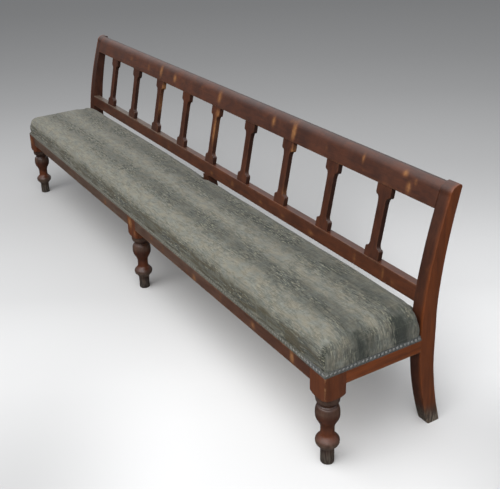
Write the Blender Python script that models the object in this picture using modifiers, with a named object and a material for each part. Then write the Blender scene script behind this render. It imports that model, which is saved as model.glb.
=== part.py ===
"""Long railway station bench: a joined wooden frame on turned front legs and swept rear posts.

Metres, +Z up. X runs along the bench, -Y is the front where people sit down, and the
origin is on the floor under the middle. Rails and splats are tenoned into the legs, the posts
and each other, and webbing and hessian on the seat frame carry a stuffed, covered seat.
"""

from math import atan2, cos, pi, sin, sqrt

import bmesh
import bpy
from mathutils import Matrix, Vector

# Overall sizes
BENCH_LENGTH = 2.99
BENCH_DEPTH = 0.54
BENCH_HEIGHT = 0.90
SEAT_HEIGHT = 0.48
SEAT_THICKNESS = 0.109
FRAME_DEPTH = 0.399

# Gaps between pieces that touch, how far a cut runs past a face, and the weld of loose points
FIT_GAP = 0.0003
MORTISE_END_GAP = 0.0006
CUT_OVERRUN = 0.004
WELD_DISTANCE = 0.00002
SMOOTH_ANGLE = 0.6
ARRIS = 0.0015

# Seat frame rails
RAIL_HEIGHT = 0.053
RAIL_THICKNESS = 0.030
REAR_RAIL_THICKNESS = 0.026
BRACE_HEIGHT = 0.035
BRACE_THICKNESS = 0.028
BRACE_DROP = 0.014
TENON_THICKNESS = 0.012
TENON_LENGTH = 0.028
TENON_SHOULDER = 0.007
SHORT_TENON_LENGTH = 0.011
POST_TENON_LENGTH = 0.021

# Front legs: a square block over a turning. Each row of the turning says how it gets there, then its
# radius as a share of half the block and its height as a share of the turned length.
LEG_SQUARE = 0.085
LEG_ARRIS = 0.0025
LEG_BLOCK_DROP = 0.0325
FOOT_ROUND = 0.003
TURNING_SHARES = (
    ("straight", 0.560, 0.198),
    ("straight", 0.850, 0.258),
    ("bulge", 0.980, 0.312),
    ("wave", 0.565, 0.412),
    ("straight", 0.560, 0.495),
    ("wave", 0.985, 0.672),
    ("straight", 0.992, 0.700),
    ("shoulder", 0.760, 0.802),
    ("straight", 0.680, 0.816),
    ("straight", 0.690, 0.826),
    ("wave", 0.960, 0.882),
    ("straight", 0.992, 0.905),
    ("straight", 0.992, 0.950),
)
LEG_SIDES = 28
CURVE_STEPS = 5
FOOT_STEPS = 2

# Rear posts and the middle rear leg
POST_WIDTH = 0.053
POST_FOOT_DEPTH = 0.052
POST_SEAT_DEPTH = 0.064
POST_TOP_DEPTH = 0.042
KNEE_RISE = 0.049
POST_FOOT_SWEEP = 0.056
BACK_CURVE_POWER = 1.55
FOOT_CURVE_POWER = 1.8
POST_TOP_FRONT_ROUND = 0.031
POST_TOP_REAR_ROUND = 0.009
POST_STEPS = 8
MIDDLE_LEG_WIDTH = 0.045

# Back rails
POST_PROUD = 0.004
CREST_HEIGHT = 0.096
CREST_THICKNESS = 0.038
CREST_FLAT_HEIGHT = 0.059
CREST_RIDGE_DEPTH = 0.028
CREST_REAR_DROP = 0.006
CREST_PROUD = 0.002
CREST_TENON_THICKNESS = 0.014
CREST_TENON_HEIGHT = 0.050
CREST_TENON_RISE = 0.012
CREST_STEPS = 7
LOWER_RAIL_CLEARANCE = 0.008
LOWER_RAIL_HEIGHT = 0.059
LOWER_RAIL_THICKNESS = 0.038
LOWER_RAIL_SETBACK = 0.002
LOWER_RAIL_ARRIS = 0.002

# Back splats
SPLAT_COUNT = 9
SPLAT_END_BAY = 0.246
SPLAT_THICKNESS = 0.020
SPLAT_BLOCK_WIDTH = 0.076
SPLAT_SHAFT_WIDTH = 0.039
SPLAT_BASE_HEIGHT = 0.029
SPLAT_BASE_ROUND = 0.010
SPLAT_BASE_COVE = 0.018
SPLAT_TOP_HEIGHT = 0.031
SPLAT_TOP_LEDGE = 0.010
SPLAT_TOP_COVE = 0.036
SPLAT_LOW_SETBACK = 0.005
SPLAT_TOP_SETBACK = 0.003
SPLAT_TENON_SHOULDER = 0.003
SPLAT_TENON_THICKNESS = 0.008
SPLAT_TENON_LENGTH = 0.012
SPLAT_CURVE_STEPS = 4

# Webbing and hessian
WEB_WIDTH = 0.050
WEB_THICKNESS = 0.0022
WEB_MARGIN = 0.001
WEB_FLAT_MARGIN = 0.006
CROSS_WEB_COUNT = 7
LONG_WEB_COUNT = 3
HESSIAN_THICKNESS = 0.001
HESSIAN_MARGIN = 0.001

# Glue blocks in the corners of the seat frame
BLOCK_LEG = 0.045
BLOCK_BLUNT = 0.008
BLOCK_HEIGHT = 0.040
BLOCK_RISE = 0.006

# Stuffed seat
SEAT_REAR_INSET = 0.003
SEAT_SIDE_INSET = 0.001
SEAT_TACK_INSET = 0.005
SEAT_EDGE_SPAN = 0.050
SEAT_SHOULDER_DROP = 0.013
SEAT_SHOULDER_INSET = 0.006
SEAT_BELLY_RISE = 0.050
SEAT_RIM = 0.006
SEAT_LEVELS = 2

# Places that follow from the sizes
HALF_LENGTH = BENCH_LENGTH / 2
FRONT_FACE = -BENCH_DEPTH / 2
POST_FRONT = FRONT_FACE + FRAME_DEPTH
RAIL_TOP = SEAT_HEIGHT - SEAT_THICKNESS
RAIL_BOTTOM = RAIL_TOP - RAIL_HEIGHT
RAIL_INNER = FRONT_FACE + RAIL_THICKNESS
TURNED_LENGTH = RAIL_BOTTOM - LEG_BLOCK_DROP
POST_KNEE = RAIL_TOP + KNEE_RISE
LOWER_RAIL_TOP = SEAT_HEIGHT + LOWER_RAIL_CLEARANCE + LOWER_RAIL_HEIGHT
POST_INNER = HALF_LENGTH - POST_WIDTH
LEG_INNER = HALF_LENGTH - LEG_SQUARE
BACK_SWEEP = BENCH_DEPTH / 2 - POST_TOP_DEPTH - POST_FRONT
BACK_END = BENCH_HEIGHT - POST_TOP_REAR_ROUND
BAY_START = RAIL_THICKNESS / 2
BAY_END = HALF_LENGTH - RAIL_THICKNESS
WEB_LOW = RAIL_TOP + FIT_GAP + WEB_THICKNESS / 2
WEB_HIGH = WEB_LOW + WEB_THICKNESS + FIT_GAP
HESSIAN_BOTTOM = WEB_HIGH + WEB_THICKNESS / 2 + FIT_GAP
SEAT_BOTTOM = RAIL_TOP + FIT_GAP
SEAT_REAR = POST_FRONT + REAR_RAIL_THICKNESS - SEAT_REAR_INSET
ROOM_FRONT = FRONT_FACE + SEAT_SIDE_INSET + SEAT_TACK_INSET + SEAT_RIM
ROOM_REAR = SEAT_REAR - SEAT_TACK_INSET - SEAT_RIM
ROOM_END = HALF_LENGTH - SEAT_SIDE_INSET - SEAT_TACK_INSET - SEAT_RIM
SIDES = (("left", -1), ("right", 1))

# Each finish is a colour and a roughness
WOOD = ((0.115, 0.040, 0.022), 0.42)
DARK_WOOD = ((0.070, 0.028, 0.018), 0.45)
WEB_JUTE = ((0.420, 0.300, 0.170), 0.90)
HESSIAN_JUTE = ((0.330, 0.240, 0.140), 0.95)
COVER_CLOTH = ((0.180, 0.185, 0.160), 0.85)


def new_collection(name):
    collection = bpy.data.collections.new(name)
    bpy.context.scene.collection.children.link(collection)
    return collection


def new_material(name, finish):
    colour, roughness = finish
    material = bpy.data.materials.new(name)
    material.use_nodes = True
    shader = material.node_tree.nodes["Principled BSDF"]
    shader.inputs["Base Color"].default_value = (*colour, 1)
    shader.inputs["Roughness"].default_value = roughness
    shader.inputs["Metallic"].default_value = 0
    return material


def add_piece(name, mesh, frame, finish):
    """Puts a mesh in the bench's collection as one named piece with its own material."""
    piece = bpy.data.objects.new(name, mesh)
    piece.matrix_world = frame
    mesh.materials.clear()
    mesh.materials.append(new_material(name, finish))
    bpy.data.collections["station_bench"].objects.link(piece)
    return piece


def add_tool(name, mesh, frame):
    """Puts a mesh among the shapes that only cut or join others."""
    tool = bpy.data.objects.new(name, mesh)
    tool.matrix_world = frame
    tool.hide_render = True
    tool.display_type = "WIRE"
    bpy.data.collections["bench_tools"].objects.link(tool)
    return tool


def combine(piece, tool, operation):
    modifier = piece.modifiers.new(operation.lower() + "_" + tool.name, "BOOLEAN")
    modifier.operation = operation
    modifier.solver = "EXACT"
    modifier.object = tool


def finished_mesh(source, name):
    """The mesh that an object has once its curve or modifiers are worked out, with caps welded."""
    bpy.context.view_layer.update()
    evaluated = source.evaluated_get(bpy.context.evaluated_depsgraph_get())
    mesh = bpy.data.meshes.new_from_object(evaluated)
    mesh.name = name
    shape = bmesh.new()
    shape.from_mesh(mesh)
    bmesh.ops.remove_doubles(shape, verts=shape.verts, dist=WELD_DISTANCE)
    shape.to_mesh(mesh)
    shape.free()
    return mesh


def prism_mesh(name, outline, thickness, arris=0):
    """A flat outline in X and Y, given a thickness along Z, centred, with its edges broken by arris."""
    curve = bpy.data.curves.new(name, "CURVE")
    curve.dimensions = "2D"
    curve.fill_mode = "BOTH"
    curve.extrude = thickness / 2 - arris
    curve.bevel_depth = arris
    curve.bevel_resolution = 0
    curve.offset = -arris
    spline = curve.splines.new("POLY")
    spline.points.add(len(outline) - 1)
    for point, (across, up) in zip(spline.points, outline):
        point.co = (across, up, 0, 1)
    spline.use_cyclic_u = True
    holder = bpy.data.objects.new(name, curve)
    bpy.context.scene.collection.objects.link(holder)
    mesh = finished_mesh(holder, name)
    bpy.data.objects.remove(holder)
    bpy.data.curves.remove(curve)
    return mesh


def box_mesh(name, low, high):
    shape = bmesh.new()
    bmesh.ops.create_cube(shape, size=1)
    low, high = Vector(low), Vector(high)
    bmesh.ops.scale(shape, vec=high - low, verts=shape.verts)
    bmesh.ops.translate(shape, vec=(high + low) / 2, verts=shape.verts)
    mesh = bpy.data.meshes.new(name)
    shape.to_mesh(mesh)
    shape.free()
    return mesh


def boxes_mesh(name, boxes):
    """Several boxes that don't touch, in one mesh, for cutting a row of mortises at once."""
    shape = bmesh.new()
    for low, high in boxes:
        single = box_mesh(name + "_box", low, high)
        shape.from_mesh(single)
        bpy.data.meshes.remove(single)
    mesh = bpy.data.meshes.new(name)
    shape.to_mesh(mesh)
    shape.free()
    return mesh


def lengthwise_frame(y, z, lean):
    """Local X points back along a leaning rail's thickness, local Y up its face, local Z along the bench."""
    frame = Matrix(((0, 0, 1), (cos(lean), sin(lean), 0), (-sin(lean), cos(lean), 0))).to_4x4()
    return Matrix.Translation((0, y, z)) @ frame


def crosswise_frame(x):
    """Local X runs along the bench, local Y up, and local Z forwards, for rails from front to back."""
    frame = Matrix(((1, 0, 0), (0, 0, -1), (0, 1, 0))).to_4x4()
    return Matrix.Translation((x, 0, 0)) @ frame


def chamfered_rectangle(low, high, arris):
    (left, bottom), (right, top) = low, high
    return [
        (left + arris, bottom), (right - arris, bottom), (right, bottom + arris), (right, top - arris),
        (right - arris, top), (left + arris, top), (left, top - arris), (left, bottom + arris),
    ]


def quarter(start, end, steps, start_upright):
    """Points of a quarter ellipse after start up to end. It leaves start upright if start_upright."""
    points = []
    for step in range(1, steps + 1):
        angle = pi / 2 * step / steps
        slow, fast = 1 - cos(angle), sin(angle)
        first, second = (slow, fast) if start_upright else (fast, slow)
        points.append((start[0] + (end[0] - start[0]) * first, start[1] + (end[1] - start[1]) * second))
    return points


def half_wave(start, end, steps):
    """Points of a smooth S after start up to end, upright at both: the radius follows half a cosine."""
    points = []
    for step in range(1, steps + 1):
        share = step / steps
        swell = (1 - cos(pi * share)) / 2
        points.append((start[0] + (end[0] - start[0]) * swell, start[1] + (end[1] - start[1]) * share))
    return points


def meet(point, along, other, other_along):
    """Where two lines in a plane cross, each given by a point and a direction."""
    cross = along.x * other_along.y - along.y * other_along.x
    gap = other - point
    return point + along * ((gap.x * other_along.y - gap.y * other_along.x) / cross)


def mortise_for(low, high, frame, name, piece):
    """Cuts a mortise into piece, larger all round than the tenon from low to high by the fitting gap."""
    ends = MORTISE_END_GAP
    sides = FIT_GAP
    grow = Vector((sides, sides, ends))
    tool = add_tool(name, box_mesh(name, Vector(low) - grow, Vector(high) + grow), frame)
    combine(piece, tool, "DIFFERENCE")


def rail_with_tenon(name, outline, tenon_low, tenon_high, span, reach, frame, finish):
    """A rail of one section between two shoulders, joined to one long tenon that runs through it.

    span is where the shoulders are and reach how far the tenon goes past each, along the rail."""
    start, end = span
    middle = Matrix.Translation((0, 0, (start + end) / 2))
    rail = add_piece(name, prism_mesh(name, outline, end - start), frame @ middle, finish)
    low = (*tenon_low, start - reach[0])
    high = (*tenon_high, end + reach[1])
    tool = add_tool(name + "_tenon", box_mesh(name + "_tenon", low, high), frame)
    combine(rail, tool, "UNION")
    return rail


def leg_profile():
    """The turned leg's radius and height, from the axis at the top down to the axis at the floor."""
    half = LEG_SQUARE / 2
    ways = {
        "straight": lambda start, end: [end],
        "bulge": lambda start, end: quarter(start, end, CURVE_STEPS, False),
        "shoulder": lambda start, end: quarter(start, end, CURVE_STEPS, True),
        "wave": lambda start, end: half_wave(start, end, CURVE_STEPS),
    }
    foot = TURNING_SHARES[0][1] * half
    up = [(0, 0), (foot - FOOT_ROUND, 0)]
    up += quarter(up[-1], (foot, FOOT_ROUND), FOOT_STEPS, False)
    for way, radius_share, height_share in TURNING_SHARES:
        up += ways[way](up[-1], (radius_share * half, height_share * TURNED_LENGTH))
    corner = LEG_SQUARE / sqrt(2)
    up += quarter(up[-1], (corner, TURNED_LENGTH), CURVE_STEPS, False)
    up += [(corner, RAIL_TOP + CUT_OVERRUN), (0, RAIL_TOP + CUT_OVERRUN)]
    return up[::-1]


def turned_tool():
    """The leg's turned shape, spun round Z, shared by the three legs."""
    profile = leg_profile()
    mesh = bpy.data.meshes.new("leg_turning")
    mesh.from_pydata([(r, 0, z) for r, z in profile], [(i, i + 1) for i in range(len(profile) - 1)], [])
    holder = bpy.data.objects.new("leg_turning", mesh)
    bpy.context.scene.collection.objects.link(holder)
    spin = holder.modifiers.new("spin", "SCREW")
    spin.steps = LEG_SIDES
    spin.render_steps = LEG_SIDES
    spin.use_merge_vertices = True
    spin.merge_threshold = WELD_DISTANCE
    spun = finished_mesh(holder, "leg_turning_spun")
    bpy.data.objects.remove(holder)
    return spun


def make_front_leg(name, x, spun):
    """A square block whose lower part is turned: the block and the turning meet where both are solid."""
    half = LEG_SQUARE / 2
    y = FRONT_FACE + half
    outline = chamfered_rectangle((-half, -half), (half, half), LEG_ARRIS)
    top, bottom = RAIL_TOP, -CUT_OVERRUN
    mesh = prism_mesh(name, outline, top - bottom)
    leg = add_piece(name, mesh, Matrix.Translation((x, y, (top + bottom) / 2)), WOOD)
    combine(leg, add_tool(name + "_turning", spun, Matrix.Translation((x, y, 0))), "INTERSECT")
    return leg


def post_front(z):
    """Depth of a rear post's front edge: upright at the seat, swept back above it and below it."""
    if z > POST_KNEE:
        return POST_FRONT + BACK_SWEEP * ((z - POST_KNEE) / (BACK_END - POST_KNEE)) ** BACK_CURVE_POWER
    if z < RAIL_BOTTOM:
        return POST_FRONT + POST_FOOT_SWEEP * ((RAIL_BOTTOM - z) / RAIL_BOTTOM) ** FOOT_CURVE_POWER
    return POST_FRONT


def post_rear(z):
    """The rear edge: the post is deepest at the seat and tapers evenly to its top and foot."""
    if z > POST_KNEE:
        share = (z - POST_KNEE) / (BACK_END - POST_KNEE)
        return post_front(z) + POST_SEAT_DEPTH + (POST_TOP_DEPTH - POST_SEAT_DEPTH) * share
    share = max(RAIL_BOTTOM - z, 0) / RAIL_BOTTOM
    return post_front(z) + POST_SEAT_DEPTH + (POST_FOOT_DEPTH - POST_SEAT_DEPTH) * share


def back_lean(z, half_span):
    return atan2(post_front(z + half_span) - post_front(z - half_span), 2 * half_span)


def levels(low, high, steps):
    return [low + (high - low) * step / steps for step in range(steps + 1)]


def post_outline():
    """A rear post seen from its end: up the front edge, over the rounded top, down the rear edge."""
    round_start = BENCH_HEIGHT - POST_TOP_FRONT_ROUND
    front = levels(0, RAIL_BOTTOM, POST_STEPS) + levels(POST_KNEE, round_start, POST_STEPS)
    rear = levels(POST_KNEE, BACK_END, POST_STEPS)[::-1] + levels(0, RAIL_BOTTOM, POST_STEPS)[::-1]
    ridge = (BENCH_DEPTH / 2 - POST_TOP_REAR_ROUND, BENCH_HEIGHT)
    outline = [(post_front(z), z) for z in front]
    outline += quarter(outline[-1], ridge, CREST_STEPS, True)
    outline += quarter(ridge, (post_rear(BACK_END), BACK_END), FOOT_STEPS, False)
    outline += [(post_rear(z), z) for z in rear[1:]]
    return outline


def make_rear_post(name, side):
    x = side * (HALF_LENGTH - POST_WIDTH / 2)
    frame = Matrix.Translation((x, 0, 0)) @ lengthwise_frame(0, 0, 0)
    return add_piece(name, prism_mesh(name, post_outline(), POST_WIDTH, ARRIS), frame, WOOD)


# The crest rail and the lower back rail lean with the posts, each in its own frame whose origin
# is the rail's lower front edge.
CREST_LEAN = back_lean(BENCH_HEIGHT - POST_PROUD - CREST_HEIGHT / 2, CREST_HEIGHT / 2 - POST_TOP_REAR_ROUND)
CREST_Z = BENCH_HEIGHT - POST_PROUD - CREST_HEIGHT * cos(CREST_LEAN) + CREST_RIDGE_DEPTH * sin(CREST_LEAN)
CREST_Y = post_front(CREST_Z) - CREST_PROUD
CREST_FRAME = lengthwise_frame(CREST_Y, CREST_Z, CREST_LEAN)
LOWER_LEAN = back_lean(LOWER_RAIL_TOP - LOWER_RAIL_HEIGHT / 2, LOWER_RAIL_HEIGHT / 2)
LOWER_Z = LOWER_RAIL_TOP - LOWER_RAIL_HEIGHT * cos(LOWER_LEAN)
LOWER_Y = post_front(LOWER_Z) + LOWER_RAIL_SETBACK
LOWER_FRAME = lengthwise_frame(LOWER_Y, LOWER_Z, LOWER_LEAN)


def plane_point(frame, back, up):
    """A point of a rail's section, as depth and height in the bench."""
    place = frame @ Vector((back, up, 0))
    return Vector((place.y, place.z))


def crest_outline():
    """The crest's section: flat face, then one round sweep up to a ridge near the back, and a flat rear."""
    points = [(ARRIS, 0), (CREST_THICKNESS - ARRIS, 0), (CREST_THICKNESS, ARRIS)]
    rear_top = (CREST_THICKNESS, CREST_HEIGHT - CREST_REAR_DROP)
    points.append(rear_top)
    points += quarter(rear_top, (CREST_RIDGE_DEPTH, CREST_HEIGHT), FOOT_STEPS, True)
    points += quarter(points[-1], (0, CREST_FLAT_HEIGHT), CREST_STEPS, False)
    points.append((0, ARRIS))
    return points


def tenon_of(thickness, height, tenon_thickness, shoulder):
    """Low and high corners of a tenon centred in a rail's section."""
    inset = (thickness - tenon_thickness) / 2
    return (inset, shoulder), (inset + tenon_thickness, height - shoulder)


def make_back_rails(posts):
    """The crest rail and the lower back rail, tenoned between the posts."""
    rise = CREST_TENON_RISE
    inset = (CREST_THICKNESS - CREST_TENON_THICKNESS) / 2
    crest_low = (inset, rise)
    crest_high = (inset + CREST_TENON_THICKNESS, rise + CREST_TENON_HEIGHT)
    lower_low, lower_high = tenon_of(
        LOWER_RAIL_THICKNESS, LOWER_RAIL_HEIGHT, TENON_THICKNESS, TENON_SHOULDER
    )
    shoulder = POST_INNER - FIT_GAP
    reach = (POST_TENON_LENGTH, POST_TENON_LENGTH)
    span = (-shoulder, shoulder)
    crest = rail_with_tenon(
        "crest_rail", crest_outline(), crest_low, crest_high, span, reach, CREST_FRAME, WOOD
    )
    section = chamfered_rectangle((0, 0), (LOWER_RAIL_THICKNESS, LOWER_RAIL_HEIGHT), LOWER_RAIL_ARRIS)
    lower = rail_with_tenon(
        "lower_back_rail", section, lower_low, lower_high, span, reach, LOWER_FRAME, WOOD
    )
    for name, side in SIDES:
        ends = sorted((side * (POST_INNER - CUT_OVERRUN), side * (shoulder + POST_TENON_LENGTH)))
        low, high = (*crest_low, ends[0]), (*crest_high, ends[1])
        mortise_for(low, high, CREST_FRAME, "crest_mortise_" + name, posts[name])
        low, high = (*lower_low, ends[0]), (*lower_high, ends[1])
        mortise_for(low, high, LOWER_FRAME, "lower_rail_mortise_" + name, posts[name])
    return crest, lower


def splat_places():
    """Where the splats stand along the bench: evenly spaced, with a named bay at each end."""
    reach = POST_INNER - SPLAT_END_BAY
    return levels(-reach, reach, SPLAT_COUNT - 1)


def splat_frame():
    """The splats' own frame: local X along the bench, local Y up the board, local Z to its front.

    The origin is where the board's front face meets the lower rail's top."""
    foot = plane_point(LOWER_FRAME, SPLAT_LOW_SETBACK, LOWER_RAIL_HEIGHT)
    head = plane_point(CREST_FRAME, SPLAT_TOP_SETBACK, 0)
    run = head - foot
    lean = atan2(run.x, run.y)
    turn = Matrix(((1, 0, 0), (0, sin(lean), -cos(lean)), (0, cos(lean), sin(lean)))).to_4x4()
    return Matrix.Translation((0, foot.x, foot.y)) @ turn, run.length, lean


SPLAT_FRAME, SPLAT_LENGTH, SPLAT_LEAN = splat_frame()


def splat_outline():
    """The board's outline: a block at each end, coved in to a plain shaft. The ends run past the rails."""
    block, shaft = SPLAT_BLOCK_WIDTH / 2, SPLAT_SHAFT_WIDTH / 2
    mid = (block + shaft) / 2
    over = SPLAT_THICKNESS
    base = [(block, -over), (block, SPLAT_BASE_HEIGHT)]
    base += quarter(base[-1], (mid, SPLAT_BASE_HEIGHT + SPLAT_BASE_ROUND), SPLAT_CURVE_STEPS, True)
    cove_end = (shaft, SPLAT_BASE_HEIGHT + SPLAT_BASE_ROUND + SPLAT_BASE_COVE)
    base += quarter(base[-1], cove_end, SPLAT_CURVE_STEPS, False)
    top = SPLAT_LENGTH - SPLAT_TOP_HEIGHT
    head = [(shaft, top - SPLAT_TOP_COVE)]
    head += quarter(head[-1], (mid, top - SPLAT_TOP_LEDGE), SPLAT_CURVE_STEPS, True)
    head += quarter(head[-1], (block, top), SPLAT_CURVE_STEPS, False)
    head.append((block, SPLAT_LENGTH + over))
    right = base + head
    return right + [(-across, up) for across, up in right[::-1]]


def splat_side_outline():
    """The board seen from its end, cut to the slopes of the two rails that it stands between."""
    over = SPLAT_THICKNESS
    rail_top = plane_point(LOWER_FRAME, 0, LOWER_RAIL_HEIGHT + FIT_GAP)
    rail_along = plane_point(LOWER_FRAME, 1, 0) - plane_point(LOWER_FRAME, 0, 0)
    crest_bottom = plane_point(CREST_FRAME, 0, -FIT_GAP)
    crest_along = plane_point(CREST_FRAME, 1, 0) - plane_point(CREST_FRAME, 0, 0)
    up = Vector((sin(SPLAT_LEAN), cos(SPLAT_LEAN)))
    back = Vector((cos(SPLAT_LEAN), -sin(SPLAT_LEAN)))
    foot = plane_point(LOWER_FRAME, SPLAT_LOW_SETBACK, LOWER_RAIL_HEIGHT)
    front, rear = foot - back * over, foot + back * (SPLAT_THICKNESS + over)
    corners = [
        meet(front, up, rail_top, rail_along), meet(rear, up, rail_top, rail_along),
        meet(rear, up, crest_bottom, crest_along), meet(front, up, crest_bottom, crest_along),
    ]
    return [tuple(corner) for corner in corners]


def splat_tenon_corners(start, end):
    half = SPLAT_SHAFT_WIDTH / 2 - SPLAT_TENON_SHOULDER
    inset = (SPLAT_THICKNESS - SPLAT_TENON_THICKNESS) / 2
    return Vector((-half, start, -inset - SPLAT_TENON_THICKNESS)), Vector((half, end, -inset))


def make_splats(crest, lower):
    """Nine boards alike, cut once and placed along the back, and their rows of mortises in both rails."""
    board = prism_mesh("splat_board", splat_outline(), SPLAT_THICKNESS, ARRIS)
    holder = add_tool("splat_board", board, SPLAT_FRAME @ Matrix.Translation((0, 0, -SPLAT_THICKNESS / 2)))
    sides = prism_mesh("splat_sides", splat_side_outline(), SPLAT_BLOCK_WIDTH + 2 * CUT_OVERRUN)
    combine(holder, add_tool("splat_sides", sides, lengthwise_frame(0, 0, 0)), "INTERSECT")
    low, high = splat_tenon_corners(-SPLAT_TENON_LENGTH, SPLAT_LENGTH + SPLAT_TENON_LENGTH)
    combine(holder, add_tool("splat_tenons", box_mesh("splat_tenons", low, high), SPLAT_FRAME), "UNION")
    shared = finished_mesh(holder, "back_splat")
    for number, x in enumerate(splat_places(), 1):
        frame = Matrix.Translation((x, 0, 0)) @ holder.matrix_world
        add_piece("back_splat_%d" % number, shared.copy(), frame, WOOD)
    grow = Vector((FIT_GAP, MORTISE_END_GAP, FIT_GAP))
    over = SPLAT_THICKNESS
    rows = (
        (crest, (SPLAT_LENGTH - over, SPLAT_LENGTH + SPLAT_TENON_LENGTH)),
        (lower, (-SPLAT_TENON_LENGTH, over)),
    )
    for rail, ends in rows:
        low, high = splat_tenon_corners(*ends)
        low, high = low - grow, high + grow
        boxes = [(low + Vector((x, 0, 0)), high + Vector((x, 0, 0))) for x in splat_places()]
        name = rail.name + "_splat_mortises"
        combine(rail, add_tool(name, boxes_mesh(name, boxes), SPLAT_FRAME), "DIFFERENCE")


def make_middle_rear_leg(lower):
    """A sawn leg like the posts' lower half, carried up to the lower back rail's underside."""
    rail_bottom = plane_point(LOWER_FRAME, 0, -FIT_GAP)
    rail_along = plane_point(LOWER_FRAME, 1, -FIT_GAP) - rail_bottom
    top_front = meet(Vector((post_front(LOWER_Z), 0)), Vector((0, 1)), rail_bottom, rail_along)
    top_rear = plane_point(LOWER_FRAME, LOWER_RAIL_THICKNESS, -FIT_GAP)
    outline = [(post_front(z), z) for z in levels(0, RAIL_BOTTOM, POST_STEPS) + [POST_KNEE]]
    outline += [tuple(top_front), tuple(top_rear)]
    outline += [(post_rear(z), z) for z in [RAIL_TOP] + levels(0, RAIL_BOTTOM, POST_STEPS)[::-1]]
    name = "rear_leg_middle"
    mesh = prism_mesh(name, outline, MIDDLE_LEG_WIDTH, ARRIS)
    leg = add_piece(name, mesh, lengthwise_frame(0, 0, 0), WOOD)
    inset = (LOWER_RAIL_THICKNESS - TENON_THICKNESS) / 2
    half = MIDDLE_LEG_WIDTH / 2 - TENON_SHOULDER
    low = Vector((inset, -LOWER_RAIL_THICKNESS / 2, -half))
    high = Vector((inset + TENON_THICKNESS, SHORT_TENON_LENGTH, half))
    combine(leg, add_tool(name + "_tenon", box_mesh(name + "_tenon", low, high), LOWER_FRAME), "UNION")
    grow = Vector((FIT_GAP, MORTISE_END_GAP, FIT_GAP))
    mortise = box_mesh("middle_leg_mortise", low - grow, high + grow)
    combine(lower, add_tool("middle_leg_mortise", mortise, LOWER_FRAME), "DIFFERENCE")
    return leg


def make_long_rail(name, side, thickness, y, shoulders, pieces, reaches):
    """A rail along one bay from an inner piece to an outer one, with a tenon in a mortise at each end."""
    frame = lengthwise_frame(y, RAIL_BOTTOM, 0)
    low, high = tenon_of(thickness, RAIL_HEIGHT, TENON_THICKNESS, TENON_SHOULDER)
    section = chamfered_rectangle((0, 0), (thickness, RAIL_HEIGHT), ARRIS)
    inner, outer = shoulders[0] + FIT_GAP, shoulders[1] - FIT_GAP
    span = sorted((side * inner, side * outer))
    rail = rail_with_tenon(name, section, low, high, span, reaches[::side], frame, WOOD)
    ends = ((inner - reaches[0], inner + CUT_OVERRUN), (outer - CUT_OVERRUN, outer + reaches[1]))
    for piece, (start, end) in zip(pieces, ends):
        start, end = sorted((side * start, side * end))
        mortise_for((*low, start), (*high, end), frame, name + "_in_" + piece.name, piece)
    return rail


def make_long_rails(legs, posts):
    """Front rails between the turned legs, flush in front, and rear rails between posts and middle leg."""
    fronts, rears = {}, {}
    for name, side in SIDES:
        fronts[name] = make_long_rail(
            "front_rail_" + name, side, RAIL_THICKNESS, FRONT_FACE, (LEG_SQUARE / 2, LEG_INNER),
            (legs["middle"], legs[name]), (TENON_LENGTH, TENON_LENGTH),
        )
        rears[name] = make_long_rail(
            "rear_rail_" + name, side, REAR_RAIL_THICKNESS, POST_FRONT, (MIDDLE_LEG_WIDTH / 2, POST_INNER),
            (posts["middle"], posts[name]), (SHORT_TENON_LENGTH, POST_TENON_LENGTH),
        )
    return fronts, rears


def make_cross_rail(name, x, size, bottom, front_piece, rear_piece, span, reach):
    """A rail from front to back, its tenons let into the pieces that it joins."""
    thickness, height = size
    left = -thickness / 2
    section = chamfered_rectangle((left, bottom), (left + thickness, bottom + height), ARRIS)
    tenon = (thickness - TENON_THICKNESS) / 2 + left
    low, high = (tenon, bottom + TENON_SHOULDER), (tenon + TENON_THICKNESS, bottom + height - TENON_SHOULDER)
    frame = crosswise_frame(x)
    front, rear = span[0] + FIT_GAP, span[1] - FIT_GAP
    ends = (-rear, -front)
    rail_with_tenon(name, section, low, high, ends, (reach, reach), frame, WOOD)
    start, end = -front - CUT_OVERRUN, -front + reach
    mortise_for((*low, start), (*high, end), frame, name + "_front_mortise", front_piece)
    start, end = -rear - reach, -rear + CUT_OVERRUN
    mortise_for((*low, start), (*high, end), frame, name + "_rear_mortise", rear_piece)


def make_cross_rails(legs, posts, fronts, rears):
    """Side rails at the ends, one rail between the middle legs, and a brace in the middle of each bay."""
    size = (RAIL_THICKNESS, RAIL_HEIGHT)
    span = (FRONT_FACE + LEG_SQUARE, POST_FRONT)
    make_cross_rail(
        "cross_rail_middle", 0, size, RAIL_BOTTOM, legs["middle"], posts["middle"], span, TENON_LENGTH
    )
    for name, side in SIDES:
        x = side * (HALF_LENGTH - RAIL_THICKNESS / 2)
        make_cross_rail(
            "side_rail_" + name, x, size, RAIL_BOTTOM, legs[name], posts[name], span, TENON_LENGTH
        )
        brace_size = (BRACE_THICKNESS, BRACE_HEIGHT)
        brace_x = side * (BAY_START + BAY_END) / 2
        brace_span = (RAIL_INNER, POST_FRONT)
        make_cross_rail(
            "brace_rail_" + name, brace_x, brace_size, RAIL_TOP - BRACE_DROP - BRACE_HEIGHT,
            fronts[name], rears[name], brace_span, SHORT_TENON_LENGTH,
        )


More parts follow.
